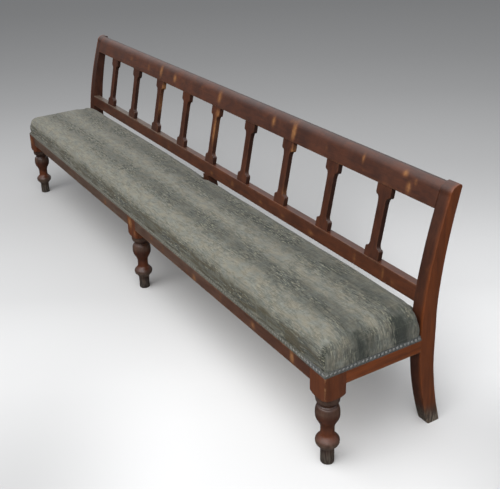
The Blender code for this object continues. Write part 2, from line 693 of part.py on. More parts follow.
def make_strap(name, stations, frame):
    """A flat strap through the given places and heights, as a ribbon with a thickness."""
    curve = bpy.data.curves.new(name, "CURVE")
    curve.dimensions = "2D"
    curve.fill_mode = "NONE"
    curve.extrude = WEB_WIDTH / 2
    spline = curve.splines.new("POLY")
    spline.points.add(len(stations) - 1)
    for point, (along, height) in zip(spline.points, stations):
        point.co = (along, height, 0, 1)
    holder = bpy.data.objects.new(name, curve)
    bpy.context.scene.collection.objects.link(holder)
    mesh = finished_mesh(holder, name)
    bpy.data.objects.remove(holder)
    bpy.data.curves.remove(curve)
    strap = add_piece(name, mesh, frame, WEB_JUTE)
    wall = strap.modifiers.new("thickness", "SOLIDIFY")
    wall.thickness = WEB_THICKNESS
    wall.offset = 0


def strap_stations(start, first, last, end, crossings):
    """A strap's places and heights: flat on the frame at both ends, level over or under each crossing."""
    half = WEB_WIDTH / 2 + WEB_FLAT_MARGIN
    stations = [(start, WEB_LOW), (first, WEB_LOW)]
    for centre, over in crossings:
        height = WEB_HIGH if over else WEB_LOW
        stations += [(centre - half, height), (centre + half, height)]
    return stations + [(last, WEB_LOW), (end, WEB_LOW)]


def evenly(low, high, count):
    """Middles of count equal stretches between low and high."""
    return [low + (high - low) * (step + 1 / 2) / count for step in range(count)]


def make_webbing():
    """In each bay, straps from front to back woven with straps along the bench, each one over and under."""
    crosswise = (ROOM_FRONT + WEB_MARGIN, RAIL_INNER, POST_FRONT, ROOM_REAR - WEB_MARGIN)
    lengthwise = (WEB_THICKNESS, BAY_START, BAY_END, ROOM_END - WEB_MARGIN)
    rows = evenly(RAIL_INNER, POST_FRONT, LONG_WEB_COUNT)
    for side_name, side in SIDES:
        columns = sorted(side * x for x in evenly(BAY_START, BAY_END, CROSS_WEB_COUNT))
        for column, x in enumerate(columns):
            crossings = [(y, (row + column) % 2 == 0) for row, y in enumerate(rows)]
            turn = Matrix(((0, 0, 1), (1, 0, 0), (0, 1, 0))).to_4x4()
            name = "cross_webbing_%s_%d" % (side_name, column + 1)
            make_strap(name, strap_stations(*crosswise, crossings), Matrix.Translation((x, 0, 0)) @ turn)
        for row, y in enumerate(rows):
            crossings = [(x, (row + column) % 2 == 1) for column, x in enumerate(columns)]
            stations = strap_stations(*sorted(side * place for place in lengthwise), crossings)
            turn = Matrix(((1, 0, 0), (0, 0, -1), (0, 1, 0))).to_4x4()
            name = "long_webbing_%s_%d" % (side_name, row + 1)
            make_strap(name, stations, Matrix.Translation((0, y, 0)) @ turn)


def bay_outline(start, inset):
    """Half of the room inside the seat's foot, in plan: it steps round the middle leg and the end post."""
    front, rear, outer = ROOM_FRONT + inset, ROOM_REAR - inset, ROOM_END - inset
    clear = FIT_GAP + SEAT_RIM + inset
    leg, face, post = MIDDLE_LEG_WIDTH / 2 + clear, POST_FRONT - clear, POST_INNER - clear
    return [
        (start, front), (outer, front), (outer, face), (post, face),
        (post, rear), (leg, rear), (leg, face), (start, face),
    ]


def flipped(outline):
    """The outline's mirror image across the middle of the bench, still running the same way round."""
    return [(-x, y) for x, y in outline[::-1]]


def make_hessian():
    """A sheet of hessian over the webbing in each bay."""
    frame = Matrix.Translation((0, 0, HESSIAN_BOTTOM + HESSIAN_THICKNESS / 2))
    outline = bay_outline(WEB_THICKNESS, HESSIAN_MARGIN)
    for name, plan in (("hessian_right", outline), ("hessian_left", flipped(outline))):
        add_piece(name, prism_mesh(name, plan, HESSIAN_THICKNESS), frame, HESSIAN_JUTE)


def make_glue_blocks():
    """Corner blocks glued into the seat frame, each with its right angle in the corner."""
    frame = Matrix.Translation((0, 0, RAIL_BOTTOM + BLOCK_RISE + BLOCK_HEIGHT / 2))
    corners = {
        "front_corner_block": (LEG_INNER, RAIL_INNER, -1, 1),
        "front_middle_block": (LEG_SQUARE / 2, RAIL_INNER, 1, 1),
        "rear_corner_block": (HALF_LENGTH - RAIL_THICKNESS, POST_FRONT, -1, -1),
        "rear_middle_block": (RAIL_THICKNESS / 2, POST_FRONT, 1, -1),
    }
    plan = [
        (FIT_GAP, FIT_GAP), (BLOCK_LEG, FIT_GAP), (BLOCK_LEG, BLOCK_BLUNT),
        (BLOCK_BLUNT, BLOCK_LEG), (FIT_GAP, BLOCK_LEG),
    ]
    for title, (x, y, inward, backward) in corners.items():
        outline = [(x + inward * across, y + backward * deep) for across, deep in plan[::inward * backward]]
        for side, shape in (("right", outline), ("left", flipped(outline))):
            name = title + "_" + side
            add_piece(name, prism_mesh(name, shape, BLOCK_HEIGHT), frame, DARK_WOOD)


def seat_cage():
    """A box cut into a coarse cage, its shoulders let down and in, its foot drawn in to the tack line."""
    low = Vector((-HALF_LENGTH + SEAT_SIDE_INSET, FRONT_FACE + SEAT_SIDE_INSET, SEAT_BOTTOM))
    high = Vector((HALF_LENGTH - SEAT_SIDE_INSET, SEAT_REAR, SEAT_HEIGHT))
    mesh = box_mesh("seat_upholstery", low, high)
    cage = bmesh.new()
    cage.from_mesh(mesh)
    span = SEAT_EDGE_SPAN
    cuts = [
        (Vector((low.x + span, 0, 0)), Vector((1, 0, 0))), (Vector((high.x - span, 0, 0)), Vector((1, 0, 0))),
        (Vector((0, 0, 0)), Vector((1, 0, 0))),
        (Vector((0, low.y + span, 0)), Vector((0, 1, 0))), (Vector((0, high.y - span, 0)), Vector((0, 1, 0))),
        (Vector((0, 0, low.z + SEAT_BELLY_RISE)), Vector((0, 0, 1))),
    ]
    for place, normal in cuts:
        everything = cage.verts[:] + cage.edges[:] + cage.faces[:]
        bmesh.ops.bisect_plane(cage, geom=everything, dist=WELD_DISTANCE, plane_co=place, plane_no=normal)
    crease = cage.edges.layers.float.new("crease_edge")
    for edge in cage.edges:
        flat = all(vert.co.z < low.z + WELD_DISTANCE for vert in edge.verts)
        outer = all(on_wall(vert.co, low, high) for vert in edge.verts)
        edge[crease] = 1 if flat and outer else 0
    for vert in cage.verts:
        shift = SEAT_TACK_INSET if vert.co.z < low.z + WELD_DISTANCE else 0
        top = vert.co.z > high.z - WELD_DISTANCE
        if top and on_wall(vert.co, low, high):
            shift = SEAT_SHOULDER_INSET
            vert.co.z -= SEAT_SHOULDER_DROP
        draw_in(vert, low, high, shift)
    cage.to_mesh(mesh)
    cage.free()
    return mesh


def on_wall(place, low, high):
    near = WELD_DISTANCE
    return min(place.x - low.x, high.x - place.x, place.y - low.y, high.y - place.y) < near


def draw_in(vert, low, high, shift):
    """Moves a point of the cage's walls in from each wall that it lies on."""
    for axis in (0, 1):
        if vert.co[axis] < low[axis] + WELD_DISTANCE:
            vert.co[axis] += shift
        elif vert.co[axis] > high[axis] - WELD_DISTANCE:
            vert.co[axis] -= shift


def make_seat():
    """The stuffed seat: it rests on the rails round its rim, with room for webbing, posts and middle leg."""
    seat = add_piece("seat_upholstery", seat_cage(), Matrix.Identity(4), COVER_CLOTH)
    smooth = seat.modifiers.new("swell", "SUBSURF")
    smooth.levels = SEAT_LEVELS
    smooth.render_levels = SEAT_LEVELS
    half_room = bay_outline(0, 0)[1:-1]
    roof = HESSIAN_BOTTOM + HESSIAN_THICKNESS + FIT_GAP
    room = prism_mesh("webbing_room", half_room + flipped(half_room), roof - RAIL_BOTTOM)
    frame = Matrix.Translation((0, 0, (roof + RAIL_BOTTOM) / 2))
    combine(seat, add_tool("webbing_room", room, frame), "DIFFERENCE")
    face, past = POST_FRONT - FIT_GAP, POST_FRONT + POST_SEAT_DEPTH
    half = MIDDLE_LEG_WIDTH / 2 + FIT_GAP
    inner, outer = POST_INNER - FIT_GAP, HALF_LENGTH + CUT_OVERRUN
    notches = [(-outer, -inner), (-half, half), (inner, outer)]
    boxes = [((start, face, RAIL_BOTTOM), (end, past, BENCH_HEIGHT)) for start, end in notches]
    combine(seat, add_tool("post_room", boxes_mesh("post_room", boxes), Matrix.Identity(4)), "DIFFERENCE")


def shade_round_pieces():
    for piece in bpy.data.collections["station_bench"].objects:
        piece.data.shade_smooth()
        piece.data.set_sharp_from_angle(angle=SMOOTH_ANGLE)


def build_bench():
    for old in list(bpy.data.objects):
        bpy.data.objects.remove(old)
    new_collection("station_bench")
    new_collection("bench_tools")
    spun = turned_tool()
    places = {"left": LEG_SQUARE / 2 - HALF_LENGTH, "middle": 0, "right": HALF_LENGTH - LEG_SQUARE / 2}
    legs = {name: make_front_leg("front_leg_" + name, x, spun) for name, x in places.items()}
    posts = {name: make_rear_post("rear_post_" + name, side) for name, side in SIDES}
    crest, lower = make_back_rails(posts)
    make_splats(crest, lower)
    posts["middle"] = make_middle_rear_leg(lower)
    fronts, rears = make_long_rails(legs, posts)
    make_cross_rails(legs, posts, fronts, rears)
    make_webbing()
    make_hessian()
    make_glue_blocks()
    make_seat()
    shade_round_pieces()


build_bench()
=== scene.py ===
"""Fine surfaces and finishes of a long railway station bench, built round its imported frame.

Metres, +Z up. X runs along the bench, -Y is the front where people sit down, and the floor is at
zero. Every new piece is a surface worked out with numpy: stations along a path, and points round
each station. The script is laid out as an add-on and is run as a script.
"""

from math import atan2, cos, pi, radians, sin, sqrt

import bpy
import numpy as np
from bpy.props import FloatProperty, FloatVectorProperty, PointerProperty
from mathutils import Matrix, Vector


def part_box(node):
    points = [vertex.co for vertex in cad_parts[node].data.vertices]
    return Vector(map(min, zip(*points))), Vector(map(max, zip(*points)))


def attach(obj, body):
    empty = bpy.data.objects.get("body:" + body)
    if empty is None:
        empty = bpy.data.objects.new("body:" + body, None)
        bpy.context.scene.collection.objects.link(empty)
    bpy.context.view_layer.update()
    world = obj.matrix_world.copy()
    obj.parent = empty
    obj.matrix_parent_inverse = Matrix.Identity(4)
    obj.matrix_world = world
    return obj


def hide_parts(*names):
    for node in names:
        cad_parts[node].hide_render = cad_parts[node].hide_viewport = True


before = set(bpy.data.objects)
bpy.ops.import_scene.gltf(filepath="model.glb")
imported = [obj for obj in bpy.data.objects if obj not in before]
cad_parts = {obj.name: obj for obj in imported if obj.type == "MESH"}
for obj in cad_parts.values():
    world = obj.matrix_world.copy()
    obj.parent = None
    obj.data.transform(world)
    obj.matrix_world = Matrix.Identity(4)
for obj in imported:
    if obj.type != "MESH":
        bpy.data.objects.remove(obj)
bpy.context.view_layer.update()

bl_info = {
    "name": "Railway station bench",
    "version": (1, 0, 0),
    "blender": (4, 5, 0),
    "location": "View3D > Sidebar > Bench",
    "description": "Builds the worn surfaces, the stuffed seat and the studio of a long wooden bench",
    "category": "Object",
}

BODY = "root"
SIDES = (("left", -1), ("right", 1))

# Places read from the frame
POST_LOW, POST_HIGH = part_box("rear_post_right")
LEG_LOW, LEG_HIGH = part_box("front_leg_right")
SEAT_LOW, SEAT_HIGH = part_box("seat_upholstery")
RAIL_LOW, RAIL_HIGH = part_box("front_rail_right")
REAR_RAIL_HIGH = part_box("rear_rail_right")[1]
MIDDLE_LOW, MIDDLE_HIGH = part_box("rear_leg_middle")
BENCH_HEIGHT = POST_HIGH.z
HALF_LENGTH = POST_HIGH.x
FRONT = LEG_LOW.y
REAR = POST_HIGH.y
POST_FRONT = POST_LOW.y
POST_INNER = POST_LOW.x
RAIL_BOTTOM = RAIL_LOW.z
RAIL_TOP = RAIL_HIGH.z
LEG_SQUARE = LEG_HIGH.x - LEG_LOW.x
MIDDLE_HALF = (MIDDLE_HIGH.x - MIDDLE_LOW.x) / 2

# Rear posts and back rails, as in the frame
POST_SEAT_DEPTH = 0.064
POST_TOP_DEPTH = 0.042
POST_FOOT_DEPTH = 0.052
POST_KNEE = 0.420
POST_FOOT_SWEEP = 0.056
BACK_POWER = 1.55
FOOT_POWER = 1.8
TOP_FRONT_ROUND = 0.031
TOP_REAR_ROUND = 0.009
BACK_END = BENCH_HEIGHT - TOP_REAR_ROUND
BACK_SWEEP = REAR - POST_TOP_DEPTH - POST_FRONT
POST_PROUD = 0.004
CREST_HEIGHT = 0.096
CREST_THICKNESS = 0.038
CREST_FLAT = 0.059
CREST_RIDGE = 0.028
CREST_REAR_DROP = 0.006
CREST_PROUD = 0.002
CREST_ARRIS = 0.002
LOWER_TOP = 0.547
LOWER_HEIGHT = 0.059
LOWER_THICKNESS = 0.038
LOWER_SETBACK = 0.002

# Back splats, as in the frame
SPLAT_COUNT = 9
SPLAT_END_BAY = 0.246
SPLAT_THICKNESS = 0.020
SPLAT_BLOCK = 0.076
SPLAT_SHAFT = 0.039
SPLAT_BASE = 0.029
SPLAT_BASE_ROUND = 0.010
SPLAT_BASE_COVE = 0.018
SPLAT_TOP = 0.031
SPLAT_LEDGE = 0.010
SPLAT_COVE = 0.036
SPLAT_LOW_SETBACK = 0.005
SPLAT_TOP_SETBACK = 0.003

# Front legs: how each stretch of the turning is reached, its radius as a share of half the block
# and its height as a share of the turned length
TURNED_LENGTH = 0.2855
FOOT_ROUND = 0.003
TURNING_SHARES = (
    ("straight", 0.560, 0.198),
    ("straight", 0.850, 0.258),
    ("bulge", 0.980, 0.312),
    ("wave", 0.565, 0.412),
    ("straight", 0.560, 0.495),
    ("wave", 0.985, 0.672),
    ("straight", 0.992, 0.700),
    ("shoulder", 0.760, 0.802),
    ("straight", 0.680, 0.816),
    ("straight", 0.690, 0.826),
    ("wave", 0.960, 0.882),
    ("straight", 0.992, 0.905),
    ("straight", 0.992, 0.950),
)
# How warm or dark the turning is up its height, and how it fades: wear on the lower ball, painted sheen on
# the upper ball's top and on the ring
LEG_TONE_SHARES = (
    (0.20, -0.20), (0.31, -0.25), (0.38, 0.10), (0.42, 0.35), (0.50, 0.05), (0.58, 0.15), (0.66, 0.00),
    (0.72, -0.05), (0.80, -0.30), (0.86, -0.35), (0.945, -0.35), (0.96, 0.42),
)
LEG_FADE_AND_SHEEN_SHARES = (
    (0.20, 0.15), (0.25, 0.60), (0.30, 0.40), (0.36, 0.00), (0.68, 0.00), (0.74, 0.30), (0.80, 0.10),
    (0.86, 0.10), (0.90, 0.30), (0.945, 0.20), (0.96, 0.00),
)
LEG_SIDES = 72
LEG_ARRIS = 0.0012
CURVE_STEPS = 12

# Wood surfaces: steps, joints, unevenness and the worn edges of posts and legs
STATION_STEP = 0.012
ARC_STEPS = 4
FLAT_SHARES = np.array((0.12, 0.35, 0.65, 0.88))
JOINT_GAP = 0.0003
JOINT_LAP = 0.0012
PLANE_WAVE = 0.0003
ARRIS_WAVE_SHARE = 0.35
TOP_STEPS = 16
LEAST_DEPTH = 0.001
LARGEST_ROUND = 0.45
FOOT_WEAR = 0.03
MIDDLE_STEP = 0.02
SLOPE_POWER = 8

# Where tones, fading, rubbing and painted sheen change on the wood: a start, and the reach of the change
# after it
END_FACE = (HALF_LENGTH - 0.012, 0.008)
POST_DARK = (0.50, 0.15)
POST_FADE = (0.015, 0.07)
POST_RUBBED = (0.02, 0.10)
CREST_LIGHT = (-0.6, 1.6)
CREST_BACK = (0.018, 0.004)
LOWER_LEDGE = (LOWER_HEIGHT - 0.005, 0.003)
# Painted sheen on the lower rail's top, towards the far end
LOWER_FAR_SHEEN = (-0.2, 1.2)
LEG_CORNER = (0.02, 0.05)
LEG_FREE_CORNER = (1.2, 0.15)
RAIL_FADE_SHARES = ((-0.3, 0.54), (0.5, 0.36), (1.4, 0.06))

# Darker and rubbed shades of the wood, in linear light
# The darkest is thick varnish, and painted shade on the splats' side faces
DARK_VARNISH_AND_SHADE = (0.008, 0.004, 0.003)
VARNISH_STREAK = (0.012, 0.005, 0.003)
VARNISH_PORE = (0.012, 0.006, 0.005)
RUBBED_WOOD = (0.23, 0.110, 0.046)
THIN_VARNISH = (0.15, 0.050, 0.014)
FOOT_GRIME = (0.058, 0.050, 0.040)
FOOT_WORN = (0.270, 0.220, 0.165)
FOOT_CRACK = (0.017, 0.015, 0.012)

# Seat cover: cells of its mesh, roundings, crown and squarer foot
SEAT_CELL = 0.012
SEAT_ROUND = np.array((0.050, 0.045, 0.045))
SEAT_CROWN = 0.0045
SEAT_TUCK = 0.0032
TUCK_RISE = 0.035
SQUARENESS = 8
SQUARE_RISE = 0.07

# The room under the seat, and the rear edge let in at posts and middle leg
ROOM_ROOF = 0.0069
ROOM_RIM = 0.012
NOTCH_CELL = 0.0022
NOTCH_START = 0.10
NOTCH_HOLD = 0.02

# The cover blown up as cloth, held up to its tacks
SWELL_FRAMES = 20
SWELL_CAP = 0.006
SWELL_SETTINGS = {
    "quality": 6, "mass": 0.3, "tension_stiffness": 25, "compression_stiffness": 25,
    "bending_stiffness": 1.5, "use_pressure": True, "uniform_pressure_force": 4.0,
}
TACKED_RISE = 0.010

# Hollows of the seat, pulls at the tacks, the bulge at the rear and the swelling past the far end
SEAT_WAVE = 0.0013
FREE_RISE = 0.05
FOOT_WAVE = 0.0009
PULL_RISE = 0.022
REAR_BULGE = 0.006
BULGE_PLACE = 1.17
BULGE_REACH = 0.26
BULGE_DEPTH = 0.11
FAR_SWELL = 0.018
FAR_SWELL_REACH = 0.10
FAR_SWELL_RISE = 0.035
FAR_SWELL_REAR = 0.12
FAR_SWELL_FADE = 0.05

# Braid: how far it stands above the rails' top and hangs below it, more at the near end
BRAID_HEIGHT = 0.0112
BRAID_DROP = 0.0063
BRAID_FRONT_DROP = 0.0010
BRAID_DROP_ENDS = 1.47
BRAID_DROP_FADE = 0.22
BRAID_THICKNESS = 0.0013
BRAID_STEP = 0.0022
BRAID_GIMP = 0.0075
BRAID_CORNERS = (0.0020, 0.008)
BRAID_CLEARANCE = 0.0002
BRAID_OFF = 0.0005
BRAID_GAP = 0.001
FRONT_RUN = 0.01

# Studs: each ring of the dome is a share of the radius and a share of the rise
STUD_PITCH = 0.0160
STUD_RADIUS = 0.0050
STUD_RISE = 0.0026
STUD_HIGH = 0.0005
STUD_SIDES = 8
STUD_DOME = ((1.0, 0.0), (0.93, 0.45), (0.60, 0.86))
STUD_UNEVEN = (0.92, 1.04)
STUD_SEAT = 0.9

# Camera, fitted to the photo
CAMERA_PLACE = (3.24454, -1.57329, 1.90778)
CAMERA_FORWARD = (-0.80236, 0.46442, -0.37489)
CAMERA_ROLL = -2.058
CAMERA_LENS = 59.457
CAMERA_SENSOR = 36.0
CAMERA_SHIFT = (0.024295, -0.118091)

# How dark the cloth's bands are against the place across the cover, on the seat and on its two ends
BAND_START = -0.40
BAND_SPAN = 0.64
DARKEST = 1.2
BAND_STOPS = (
    (-0.385, 0.48), (-0.360, 0.54), (-0.337, 1.10), (-0.318, 0.92), (-0.300, 0.52), (-0.286, 0.36),
    (-0.240, 0.18), (-0.200, 0.22), (-0.150, 0.74), (-0.110, 0.76), (-0.070, 0.33), (-0.040, 0.22),
    (0.000, 0.52), (0.050, 0.92), (0.100, 0.62), (0.150, 0.62),
)
END_BAND_STOPS = (
    (-0.290, 0.95), (-0.262, 0.75), (-0.240, 0.45), (-0.200, 0.35), (-0.160, 0.65), (-0.130, 1.15),
    (-0.075, 0.70), (-0.040, 0.36), (0.000, 0.52), (0.030, 1.20), (0.052, 1.20), (0.075, 0.90),
    (0.100, 0.60), (0.140, 0.75),
)
COVER_END = (1.455, 1.478)

# Colours of the cloth and of its trim, in linear light
CLOTH_LIGHT = ((0.216, 0.222, 0.192), (0.246, 0.229, 0.178))
CLOTH_DARK = (0.027, 0.031, 0.026)
CLOTH_FADED = (0.39, 0.37, 0.31)
CLOTH_OLIVE = (0.074, 0.064, 0.026)
CLOTH_STREAK = (0.018, 0.022, 0.018)
# Painted shade in the cloth's creases
CLOTH_CREASE_SHADE = (0.040, 0.043, 0.035)
CLOTH_THREADS = ((0.055, 0.058, 0.050), (0.36, 0.35, 0.29))
CLOTH_SLUB = (0.38, 0.37, 0.27)
CLOTH_STAIN = (0.046, 0.034, 0.014)
CLOTH_WEAVE = (0.05, 0.05, 0.045)
BRAID_CORDS = ((0.034, 0.036, 0.034), (0.092, 0.096, 0.094))
BRAID_DULL = ((0.062, 0.060, 0.042), (0.160, 0.158, 0.130))
BRAID_DARK = (0.038, 0.036, 0.026)
STUD_GREYS = ((0.095, 0.097, 0.094), (0.185, 0.182, 0.176))
STUD_DULL = (0.085, 0.082, 0.062)
STRAP_JUTE = (0.36, 0.26, 0.14)
HESSIAN_JUTE = (0.30, 0.23, 0.14)
STRAP_SHADE = 0.45
STRAP_DUST = (0.09, 0.075, 0.055)

# Studio: floor greys against the distance from below the camera, painted darker as its light falls off, then
# the painted shade in the near corners and the painted light on the right that darken or brighten them
# sideways, the lamps (place, target, size, power) and the world
FLOOR_SIZE = 60.0
FLOOR_REACH = 14.0
FLOOR_STOPS = (
    (2.1, 0.72), (2.45, 0.75), (2.7, 0.745), (3.0, 0.69), (3.4, 0.615), (3.83, 0.605), (4.3, 0.575),
    (5.2, 0.55), (6.0, 0.51), (6.7, 0.47), (8.0, 0.435), (11.0, 0.40),
)
RIGHT_PAINTED_LIGHT = 0.36
RIGHT_SPREAD = (0.45, 0.85)
RIGHT_START, RIGHT_END = (2.2, 2.7), (3.0, 5.2)
CORNER_SHADES = (0.30, 0.18)
CORNER_SPREADS = ((0.20, 0.80), (0.50, 0.95))
CORNER_END = (2.0, 3.3)
FLOOR_GLOSS = 0.12
LAMPS = (
    ("overhead", (1.6, -2.4, 4.2), (0.6, -0.4, 0.3), (6.0, 5.0), 315.0),
    ("end_fill", (4.6, -1.5, 2.4), (0.6, 0.0, 0.4), (3.0, 3.0), 22.0),
)
SKY_COLOUR = (0.955, 0.972, 1.0, 1)
WORLD_LIGHT = 0.43
WORLD_GLOSS = (0.38, 2.05)
GLOSS_HEIGHT = (0.15, 0.75)


class BenchSizes(bpy.types.PropertyGroup):
    """Sizes of the worn surfaces that can be changed without touching the frame."""

    arris: FloatProperty(
        name="Arris", description="Rounding of the wood's worn edges", default=0.0016, unit="LENGTH"
    )


class BenchColours(bpy.types.PropertyGroup):
    """Colours of the finishes, in linear light."""

    dark_wood: FloatVectorProperty(
        name="Dark wood", description="Stained wood where the varnish is thick",
        default=(0.030, 0.0095, 0.0055), subtype="COLOR", size=3,
    )
    red_wood: FloatVectorProperty(
        name="Red wood", description="Stained wood where the varnish is thin",
        default=(0.078, 0.0235, 0.0100), subtype="COLOR", size=3,
    )
    warm_wood: FloatVectorProperty(
        name="Warm wood", description="Orange-brown wood on the ends and blocks",
        default=(0.180, 0.043, 0.0072), subtype="COLOR", size=3,
    )
    # Greyed wood from wear, also laid on as painted sheen on the lower rail's top and the legs' upper balls
    # and rings
    faded_wood: FloatVectorProperty(
        name="Faded wood", description="Greyed wood on the front rail and at the feet",
        default=(0.108, 0.080, 0.060), subtype="COLOR", size=3,
    )
    bare_wood: FloatVectorProperty(
        name="Bare wood", description="Tan wood where the varnish has worn through",
        default=(0.280, 0.125, 0.042), subtype="COLOR", size=3,
    )


class Shade:
    """One output of a shader node. Sums and products of these and of numbers add their Math nodes."""

    def __init__(self, tree, link=None):
        self.tree = tree
        self.link = link

    def node(self, kind, settings=None, inputs=None, output=0):
        """A new node: its settings first, then the values or links of its sockets."""
        made = self.tree.nodes.new(kind)
        settings = dict(settings or {})
        stops = settings.pop("stops", None)
        for name, value in settings.items():
            setattr(made, name, value)
        if stops:
            ramp = made.color_ramp.elements
            while len(ramp) < len(stops):
                ramp.new(1)
            for element, (place, colour) in zip(ramp, stops):
                element.position = place
                element.color = (*colour, 1)
        for name, value in (inputs or {}).items():
            if isinstance(value, Shade):
                self.tree.links.new(value.link, made.inputs[name])
            else:
                made.inputs[name].default_value = value
        return Shade(self.tree, made.outputs[output])

    def math(self, operation, first, second, clamp=False):
        settings = {"operation": operation, "use_clamp": clamp}
        return self.node("ShaderNodeMath", settings, {0: first, 1: second})

    def __add__(self, other):
        return self.math("ADD", self, other)

    def __sub__(self, other):
        return self.math("SUBTRACT", self, other)

    def __rsub__(self, other):
        return self.math("SUBTRACT", other, self)

    def __mul__(self, other):
        return self.math("MULTIPLY", self, other)

    __radd__ = __add__
    __rmul__ = __mul__

    def clamped(self):
        return self.math("ADD", self, 0, clamp=True)

    def absolute(self):
        return self.math("ABSOLUTE", self, 0)

    def rise(self, start, end):
        """A soft step: 0 up to start, 1 from end on."""
        inputs = {"Value": self, "From Min": start, "From Max": end}
        return self.node("ShaderNodeMapRange", {"interpolation_type": "SMOOTHSTEP"}, inputs)

    def noise(self, scale, detail=3.0, roughness=0.5, distortion=0.0):
        """Noise that reads this output as its place."""
        inputs = {"Vector": self, "Scale": scale, "Detail": detail, "Roughness": roughness}
        return self.node("ShaderNodeTexNoise", None, inputs | {"Distortion": distortion})

    def stretched(self, scales, offset=(0, 0, 0)):
        """This place, with each axis drawn out or squeezed."""
        return self.node("ShaderNodeMapping", None, {"Vector": self, "Location": offset, "Scale": scales})

    def blended(self, first, second):
        """Colours mixed with this output as the share of the second."""
        pair = [value if isinstance(value, Shade) else (*value, 1) for value in (first, second)]
        return self.node("ShaderNodeMix", {"data_type": "RGBA"}, {0: self, 6: pair[0], 7: pair[1]}, 2)

    def greys(self, stops, start, span, lightest=1.0):
        """The grey at this output's value, from stops of a value and a grey, over one span from start."""
        ramp = [((at - start) / span, (grey / lightest,) * 3) for at, grey in stops]
        return self.node("ShaderNodeValToRGB", {"stops": ramp}, {"Fac": (self - start) * (1 / span)})

    def axis(self, index):
        return self.node("ShaderNodeSeparateXYZ", None, {0: self}, index)

    def attribute(self, name):
        return self.node("ShaderNodeAttribute", {"attribute_name": name}, None, 2)

    def place(self):
        """The place in the object's own coordinates."""
        return self.node("ShaderNodeTexCoord", None, None, 3)


def new_finish(name, roughness, coat=0.0, coat_roughness=0.3, sheen=0.0, specular=0.5):
    """A material, its shader with the values that are the same all over, and a Shade to build on."""
    material = bpy.data.materials.new(name)
    material.use_nodes = True
    shader = material.node_tree.nodes["Principled BSDF"]
    constants = {
        "Roughness": roughness, "Coat Weight": coat, "Coat Roughness": coat_roughness,
        "Sheen Weight": sheen, "Specular IOR Level": specular,
    }
    for socket, value in constants.items():
        shader.inputs[socket].default_value = value
    return material, shader, Shade(material.node_tree)


def feed(shader, **links):
    """Links what varies to the shader's sockets, whose names have spaces for underscores."""
    for name, value in links.items():
        value.tree.links.new(value.link, shader.inputs[name.replace("_", " ")])


def bumped(height, distance, strength=1.0):
    return height.node("ShaderNodeBump", None, {"Strength": strength, "Distance": distance, "Height": height})


def layered(colour, *layers):
    """A colour with others laid over it in turn, each by its share."""
    for share, over in layers:
        colour = share.blended(colour, over)
    return colour


def wood_finish(name, grain, colours):
    """Stained and varnished wood whose grain runs along one axis.

    Blotches and streaks are noise drawn out along the grain. The point attributes say where an arris is
    rubbed, where the varnish has worn through, where the wood is greyed by wear or, on the lower rail's top
    and the legs' upper balls and rings, carries a painted sheen, and which faces are warm (above zero) or
    dark (below zero); the dark is thick varnish, and painted shade on the splats' side faces."""
    material, shader, base = new_finish(name, 0.4, coat=0.20, coat_roughness=0.30, specular=0.25)
    place = base.place()

    def drawn(share, *noise):
        """Noise drawn out along the grain, where its scale is only a share of that across."""
        return place.stretched([share if axis == grain else 1.0 for axis in range(3)]).noise(*noise)

    broad = place.noise(6.0, 3.0, 0.6)
    blotch = drawn(0.40, 36.0, 4.0, 0.62, 0.8)
    cloud = drawn(0.07, 34.0, 3.0, 0.55, 1.0)
    streak = drawn(0.07, 120.0, 5.0, 0.62, 0.6)
    cracks = drawn(0.07, 330.0, 3.0, 0.60)
    pores = drawn(0.02, 700.0, 2.0, 0.5)
    patches = place.noise(60.0, 4.0, 0.65)
    speckle = place.noise(190.0, 3.0, 0.6)
    bands = place.stretched((9.0, 0, 0)).noise(1.0, 3.0, 0.6)
    side = base.attribute("tone")
    tone = blotch.rise(0.32, 0.70) * 0.52 + broad.rise(0.35, 0.68) * 0.20 + cloud.rise(0.32, 0.68) * 0.13
    tone = (tone + (bands.rise(0.30, 0.70) - 0.5) * 0.45 + 0.07).clamped()
    warm = (side * (cloud.rise(0.30, 0.66) * 0.45 + 0.60) + broad.rise(0.52, 0.75) * 0.12).clamped()
    faded = (base.attribute("faded") * (blotch.rise(0.30, 0.66) * 0.8 + 0.6)).clamped()
    arris = (base.attribute("arris") * patches.rise(0.40, 0.64) * 0.50).clamped()
    bare = (base.attribute("bare") * (patches * 0.9 + speckle * 0.5 + 0.30)).rise(0.12, 1.10)
    foot = 1 - place.axis(2).rise(0.015, 0.10)
    grime = (foot * (streak.rise(0.25, 0.60) * 0.35 + 0.62) * (1 - faded * 0.25)).clamped()
    colour = layered(
        tone.blended(colours.dark_wood, colours.red_wood),
        (warm, colours.warm_wood),
        # Faces with tone below zero: thick varnish, and painted shade on the splats' side faces
        ((0 - side).clamped(), DARK_VARNISH_AND_SHADE),
        # Fading from wear, and painted sheen on the lower rail's top and the legs' upper balls and rings
        (faded, colours.faded_wood),
        (streak.rise(0.46, 0.68) * 0.24, VARNISH_STREAK),
        (pores.rise(0.56, 0.70) * 0.22, VARNISH_PORE),
        (arris, RUBBED_WOOD),
        (bare * 0.80, bare.blended(THIN_VARNISH, colours.bare_wood)),
        (grime, cracks.rise(0.46, 0.60).blended(FOOT_CRACK, faded.blended(FOOT_GRIME, FOOT_WORN))),
    )
    feed(
        shader,
        Base_Color=colour,
        Roughness=(broad.rise(0.3, 0.7) * 0.14 + bare * 0.12 + grime * 0.22 + streak * 0.10 + 0.29).clamped(),
        Normal=bumped(streak * 0.6 + pores * 0.5 + broad * 0.8, 0.0006, 0.55),
    )
    return material


def smooth_share(values, start=0.0, reach=1.0):
    """0 up to start, 1 from one reach past it, and the cubic 3t^2 - 2t^3 between."""
    share = np.clip((values - start) / reach, 0, 1)
    return share * share * (3 - 2 * share)


def combined(*numbers):
    """Arrays and single numbers put side by side, as the axes of points or the corners of faces."""
    return np.stack(np.broadcast_arrays(*numbers), -1)


